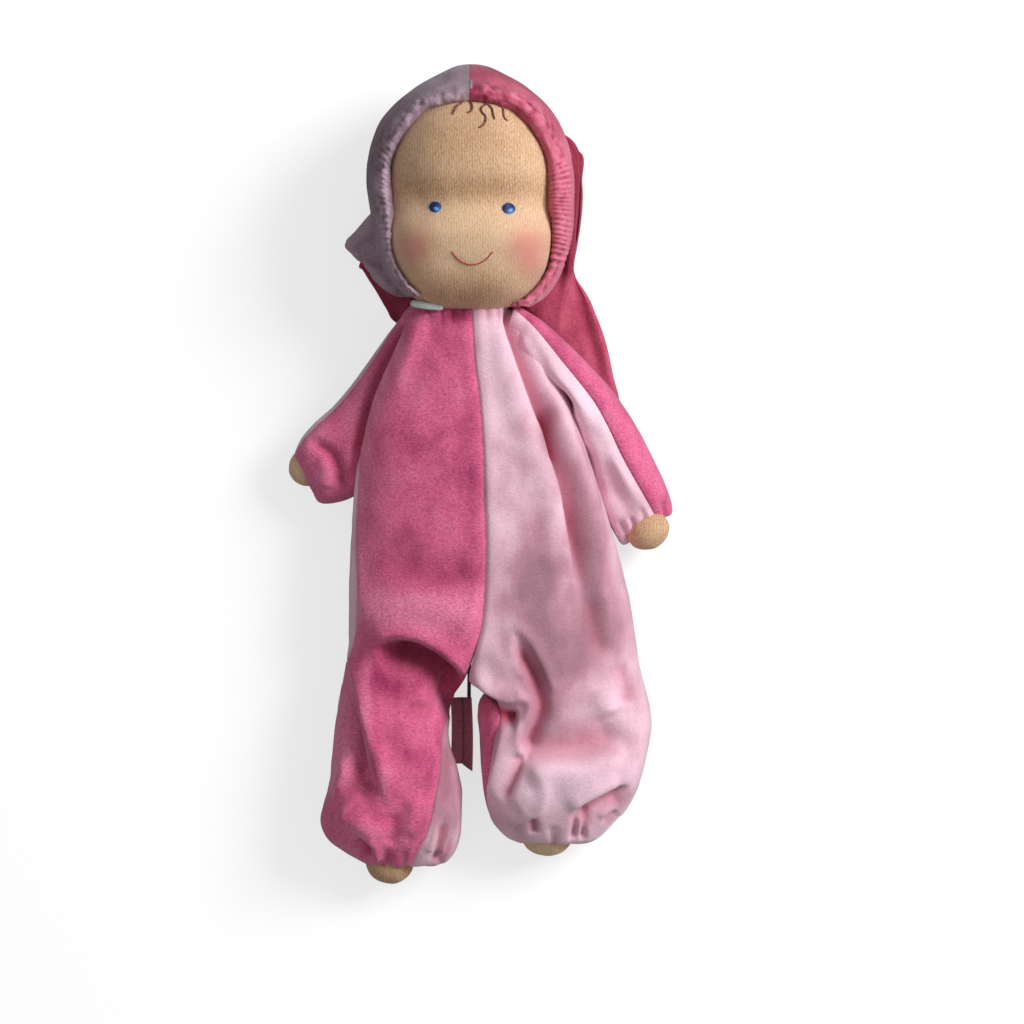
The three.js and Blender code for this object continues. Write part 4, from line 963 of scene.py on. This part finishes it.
def satin(name):
    """Navy satin stitch with a painted highlight of paler blue where the mesh says so."""
    material, tree, shader = nodes_of(name)
    place = place_of(tree)
    tone = weighted(tree, mark_of(tree, "shine"), 0.75, noise_of(tree, place, 1600, 3), 0.42)
    colour = ramp(tree, tone, [(0.12, srgb(8, 20, 62)), (0.4, srgb(24, 58, 128)), (0.85, srgb(112, 164, 216))])
    threads = bands_of(tree, place, 560, 1.5, "DIAGONAL")
    surface(tree, shader, colour, threads, 0.5, 0.0002, {"Roughness": 0.45})
    return material


NAVY = satin("navy_satin")
add_eye("right", 435, 207, 12.6, 11.4, 0.15)
add_eye("left", 508.5, 208.5, 14, 11.4, 0.1)

MOUTH = [(451.7, 251.5), (457, 258.5), (465, 263.6), (473, 264.8), (481, 262.6), (488, 257.5), (492.8, 251.5)]


def add_mouth():
    line = even(MOUTH, 60)
    stitches = []
    for k in range(12):
        a, b = k * 59 // 12, min((k + 1) * 59 // 12 + 2, 59)
        stitches.append([on_face(*line[a], 0.18), on_face(*line[b], 0.18)])
    add_stitches("mouth_thread", stitches, 0.27, RED, ["mouth_stitch"])


HAIR = [
    [(466, 98), (462, 102.5), (457, 106), (454, 111), (453, 114.5)],
    [(467, 99), (471, 103), (472.2, 107), (471, 111), (467, 112.5)],
    [(490, 100), (485, 104.5), (481.5, 107.5), (481.5, 111.5), (485.5, 116), (485.5, 121), (482.5, 125.5),
     (478.5, 127.5)],
    [(484, 101), (488, 104.5), (492, 109), (493, 114), (494.5, 119.5)],
    [(494, 101), (499, 105), (503, 109), (503.5, 114), (505, 118.5), (508, 120.5)]]


def add_hair():
    for k, line in enumerate(HAIR, 1):
        points = [on_face(u, v, 0.3) for u, v in even(line, 26)]
        radii = np.full(26, 0.4 * MM)
        radii[-4:] *= np.array([0.95, 0.85, 0.7, 0.45])
        belongs(tube(f"hair_thread_{k}", points, radii, BROWN, 8), "head", [f"hair_strand_{k}"])


add_mouth()
add_hair()

# The hood, whose edge is turned in round the face

# Its rim, from the top down: face edge u, v, outer edge u, v
HOOD_DARK = [
    (469.8, 101, 469.8, 64.5), (485, 103, 488, 66.5), (500, 106, 508, 77), (516, 114, 530, 91),
    (530, 127, 547, 107), (541, 144, 559.5, 128), (547.5, 163, 568, 150), (549.5, 182, 572, 177),
    (549.5, 202, 572.5, 203), (551.5, 224, 570.5, 228), (551.5, 246, 566, 250), (547, 268, 560.5, 268),
    (537, 285, 553, 284), (524, 298, 541, 298), (512, 304, 528, 307)]
HOOD_PALE = [
    (469.8, 101, 469.8, 64.5), (458, 102, 455, 67), (441, 105, 434, 77), (424, 112, 414, 89), (409, 127, 396, 104),
    (399, 143, 383, 120), (392, 161, 374.5, 141), (390, 180, 370, 165), (391, 199, 369, 188),
    (393, 214, 371.5, 208), (392, 233, 375.5, 230), (394, 252, 379.5, 251), (399, 268, 386, 269),
    (408, 283, 396, 285), (420, 294, 409, 297)]
BACK_SEAM = [
    (0, 151.5, 31), (0, 149, 22), (0, 142, 13), (0, 128, 7), (0, 110, 5), (0, 92, 5), (0, 79, 7), (0, 68, 12)]


def hood_section(face_u, face_v, outer_u, outer_v, seam):
    """The points that one section of the hood runs through, from inside its rim round to the seam behind."""
    x, y, _ = np.array(at(face_u, face_v, RIM_LEVEL)) / MM
    low = float(skin_height(np.array(x * 0.985), np.array(HEAD[1] + (y - HEAD[1]) * 0.985)))

    def place(t, z):
        return np.array(at(face_u + (outer_u - face_u) * t, face_v + (outer_v - face_v) * t, z))

    outer, back = place(1, HOOD_EDGE), seam * MM
    under = (outer + back) / 2 - np.array(HEAD) * MM
    under *= 1 / math.sqrt(float(((under / MM / np.array(HOOD_HALF)) ** 2).sum()))
    return [place(-0.2, low - 3.5), place(-0.02, low - 0.2), place(0.1, low + 2.4), place(0.34, low + 3.6),
            place(0.62, low * 0.55 + 0.45 * HOOD_BEND + 3.2), place(0.86, low * 0.22 + 0.78 * HOOD_BEND + 2.2),
            outer, place(0.97, HOOD_SIDE), np.array(HEAD) * MM + under, back]


def add_hood(side, pairs, material, mirror, seed):
    rows, columns = 300, 64
    sections = zip(smooth(pairs, rows), smooth(BACK_SEAM, rows))
    net = np.array([even(hood_section(*edge, seam), columns) for edge, seam in sections])
    left = mirror > 0
    if left:
        net = net[:, ::-1]
    net[:, :, 0] = np.where(mirror * net[:, :, 0] < MIDDLE_GAP, mirror * MIDDLE_GAP, net[:, :, 0])
    run = np.concatenate([[0], np.cumsum(np.linalg.norm(np.diff(net[:, columns // 4], axis=0), axis=1))]) / MM
    ribs = np.zeros((rows, columns)) + ease(run, 34, 46)[:, None] * (1 - ease(run, 84, 94))[:, None]
    rim, spread = (columns - 13, 8.0) if left else (9, 5.0)
    near_face = np.exp(-((np.arange(columns)[None, :] - rim) / spread) ** 2)
    waves = np.cos(2 * math.pi * run / 2.3 + 1.6 * np.sin(run / 3.1))[:, None]
    puckers = near_face * (0.75 * rough(net, 3.2, seed + 6) + 0.5 * rough(net, 1.8, seed + 7))
    puckers += waves * ribs * near_face * (0.5 if left else 0.2)
    made, marks = sculpt(net, HOOD_FOLDS, seed, lumps=0.45, dip=0.35, sides=(False, False), extra=puckers,
                         hold=ease(run, 0, 5)[:, None])
    # Painted light and shade over the hood and its puckers, lighter on raised ones and darker in their dips; the rim
    # by the face is lighter
    shade = (0.1 if left else -0.1) * ease(run, 16, 40) - (0.22 if left else 0.02) * (1 - ease(run, 8, 40))
    marks["nap_and_painted_light"] = marks["nap_and_painted_light"] + shade[:, None] + near_face * (0.14 if left else 0.26) + 0.5 * puckers * near_face
    piece = cloth_mesh(f"hood_half_{side}", made, material, 1.1, marks)
    belongs(piece, "head", [f"hood_{side}", f"hood_rim_{side}"])


HOOD_FOLDS = [
    ([(500, 84), (520, 98), (538, 116), (551, 140)], 0.9, 8, 8, 0, (0.2, 0.2)),
    ([(496, 96), (512, 104), (528, 118)], -0.8, 4, 5, 0.15, (0.3, 0.3)),
    ([(448, 88), (424, 100), (404, 118), (392, 136)], 0.6, 8, 8, 0, (0.2, 0.2)),
    ([(562, 168), (563, 200), (561, 236), (553, 266)], 0.8, 6, 6, 0, (0.2, 0.2))]
add_hood("left", HOOD_DARK, DARK_SHADED, 1, 51)
add_hood("right", HOOD_PALE, PALE_SHADED, -1, 61)

# The long tip of the hood, folded flat behind the head and the shoulders


def pillow(name, outline, middle, low, high, material, folds, seed, edge, nap_and_painted_light, nodes):
    """A flat folded piece of cloth inside an outline that is seen whole from its middle."""
    rows, columns = 44, 200
    rim = even(outline + outline[:1], columns + 1)[:-1]
    shares = np.concatenate([np.linspace(0.02, edge, rows - 14),
                             edge + (1 - edge) * np.sin(np.linspace(0.1, 1, 14) * math.pi / 2)])
    top = np.zeros((rows, columns, 3))
    for i, share in enumerate(shares):
        fall = max(0.0, (share - edge) / (1 - edge))
        height = low + (high - low) * (0.5 + 0.5 * math.sqrt(max(0.0, 1 - fall * fall)))
        for j, (u, v) in enumerate(rim):
            top[i, j] = at(middle[0] + (u - middle[0]) * share, middle[1] + (v - middle[1]) * share, height)
    normal = ring_normals(top)
    normal *= np.sign(normal[..., 2:3] + 1e-9)
    made, marks = sculpt(top, folds, seed, lumps=0.35, dip=0, sides=(False, False), outward=normal)
    # The whole piece is painted lighter or darker, as painted light and shade
    marks["nap_and_painted_light"] = marks["nap_and_painted_light"] + nap_and_painted_light
    base = made[::-1].copy()
    base[..., 2] = low * MM + (base[..., 2] - low * MM) * 0.02
    base[0, :, 2] = made[-1, :, 2] - 0.0006
    net = np.concatenate([made, base], 0)
    net[..., 2] = np.maximum(net[..., 2], FLOOR_GAP)
    marks = {key: np.concatenate([mark, mark[::-1]], 0) for key, mark in marks.items()}
    piece = new_mesh(name, net.reshape(-1, 3), ring_faces(2 * rows, columns), material, marks)
    belongs(piece, "hood_tail", nodes)


TAIL = [
    (560, 128), (573, 137), (582, 149), (585, 165), (585, 200), (582.5, 232), (578, 260), (579, 277), (590, 300),
    (600, 325), (608, 350), (614, 378), (619, 402), (614, 436), (600, 450), (560, 420), (500, 370), (440, 340),
    (396, 325), (384, 310), (372, 290), (362, 273), (358, 264), (380, 240), (430, 200), (500, 150)]
TAIL_FRONT = [
    (548, 122), (560, 130), (571, 142), (578, 156), (578, 180), (575.5, 210), (574.5, 240), (573, 266), (570, 288),
    (564, 312), (559, 338), (540, 330), (520, 300), (520, 240), (530, 170)]
FLAP = [
    (378, 206), (367, 217), (357, 229), (345, 244.5), (351, 254), (361, 264.5), (372, 275), (381, 283), (387, 291),
    (396, 296.5), (409, 297.5), (424, 294), (430, 270), (420, 235), (400, 212)]

# The second last number of each piece is its painted light or shade
pillow("hood_tip_dark", TAIL, (500, 280), 0.3, 4.4, DARK_SHADED, [
    ([(582, 160), (579, 200), (575, 245), (576, 280), (585, 320), (596, 360), (606, 400)], -1.6, 6, 5, 0.25,
     (0.1, 0.2)),
    ([(560, 130), (572, 140), (583, 156)], -1.2, 8, 8, 0.35, (0.1, 0.1)),
    ([(394, 322), (378, 296), (362, 270)], -1.0, 10, 10, 0.55, (0, 0)),
    ([(580, 146), (581, 200), (577, 256)], -0.4, 7, 6, 0.6, (0.0, 0.2)),
], 71, 0.94, 0.0, ["hood_tail_left"])
pillow("hood_tip_fold", TAIL_FRONT, (548, 230), 2.6, 8.0, DARK_SHADED, [
    ([(576, 165), (574, 200), (572, 240), (569, 280)], 1.0, 3, 5, 0, (0.1, 0.1)),
    ([(566, 150), (566, 200), (564, 250), (556, 300)], -1.4, 5, 5, 0.3, (0.2, 0.2)),
    ([(570, 138), (577, 152), (577, 180), (575, 210), (574, 240), (572, 266), (569, 288)], 0, 5, 5, 0.7, (0, 0.3)),
], 73, 0.82, -0.1, [])
pillow("hood_tip_pale", FLAP, (395, 255), 2.6, 9.0, PALE_SHADED, [
    ([(348, 247), (366, 236), (384, 226)], 1.2, 6, 6, 0, (0.1, 0.3)),
    ([(356, 262), (374, 262), (392, 268)], -1.2, 6, 5, 0.2, (0.2, 0.2)),
    ([(366, 276), (384, 284), (402, 290)], 1.2, 5, 5, 0, (0.2, 0.2)),
], 79, 0.8, 0.62, ["hood_tail_right"])

# The neck and the end of its tape


def add_neck():
    points = [(0, y * MM, NECK_HEIGHT) for y in np.linspace(57, 76, 16)]
    radii = [(6.8 + 1.2 * abs(t - 0.5) ** 2 * 4) * MM for t in np.linspace(0, 1, 16)]
    belongs(tube("neck_knit", points, radii, SKIN, 32), "neck", ["neck_stuffing"])


def add_tape():
    line = [(410.5, 303, 41.8), (420, 304.8, 43.2), (430, 306.2, 43.8), (443.5, 307.2, 43.6)]
    radii = np.full(24, 1.3 * MM)
    radii[:3] *= (0.45, 0.8, 0.95)
    radii[-3:] *= (0.95, 0.8, 0.45)
    weave = woven("mint_tape_weave", srgb(206, 220, 210), srgb(166, 180, 170))
    tape = tube("neck_tape_end", [at(*spot) for spot in even(line, 24)], radii, weave, 14, 0.45)
    belongs(tape, "torso", ["neck_tape"])


add_neck()
add_tape()

for name in ("neck_tie", "wrist_tie_right", "wrist_tie_left", "ankle_tie_right", "ankle_tie_left"):
    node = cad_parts[name]
    node.data.materials.clear()
    node.data.materials.append(ECRU)

# Floor and light

FLOOR_REACH = 30.0
WORLD_STRENGTH = 0.32
LAMP_PLACE, LAMP_AIM, LAMP_POWER, LAMP_SIZE = (0.98, 0.52, 0.93), (0.01, 0, 0.02), 19, 0.6


def add_studio():
    mesh = bpy.data.meshes.new("floor")
    corners = ((-1, -1), (1, -1), (1, 1), (-1, 1))
    mesh.from_pydata([(x * FLOOR_REACH, y * FLOOR_REACH, -0.0002) for x, y in corners], [], [(0, 1, 2, 3)])
    floor = bpy.data.objects.new("floor", mesh)
    bpy.context.scene.collection.objects.link(floor)
    material, tree, shader = nodes_of("floor")
    seen = make(tree, "ShaderNodeLightPath").outputs["Is Camera Ray"]
    feed(tree, shader, {
        "Base Color": (0.4, 0.4, 0.4), "Roughness": 0.9, "Specular IOR Level": 0.1, "Emission Color": (1, 1, 1),
        "Emission Strength": maths(tree, "MULTIPLY", seen, 0.7)}.items())
    mesh.materials.append(material)
    world = bpy.context.scene.world or bpy.data.worlds.new("world")
    bpy.context.scene.world = world
    world.use_nodes = True
    back = world.node_tree.nodes["Background"]
    back.inputs[0].default_value = (1, 1, 1, 1)
    back.inputs[1].default_value = WORLD_STRENGTH
    lamp = bpy.data.lights.new("key", "AREA")
    lamp.energy, lamp.size = LAMP_POWER, LAMP_SIZE
    holder = bpy.data.objects.new("key", lamp)
    holder.location = LAMP_PLACE
    holder.rotation_euler = (Vector(LAMP_AIM) - Vector(LAMP_PLACE)).to_track_quat("-Z", "Y").to_euler()
    bpy.context.scene.collection.objects.link(holder)


add_studio()
bpy.context.scene.view_settings.view_transform = "Standard"
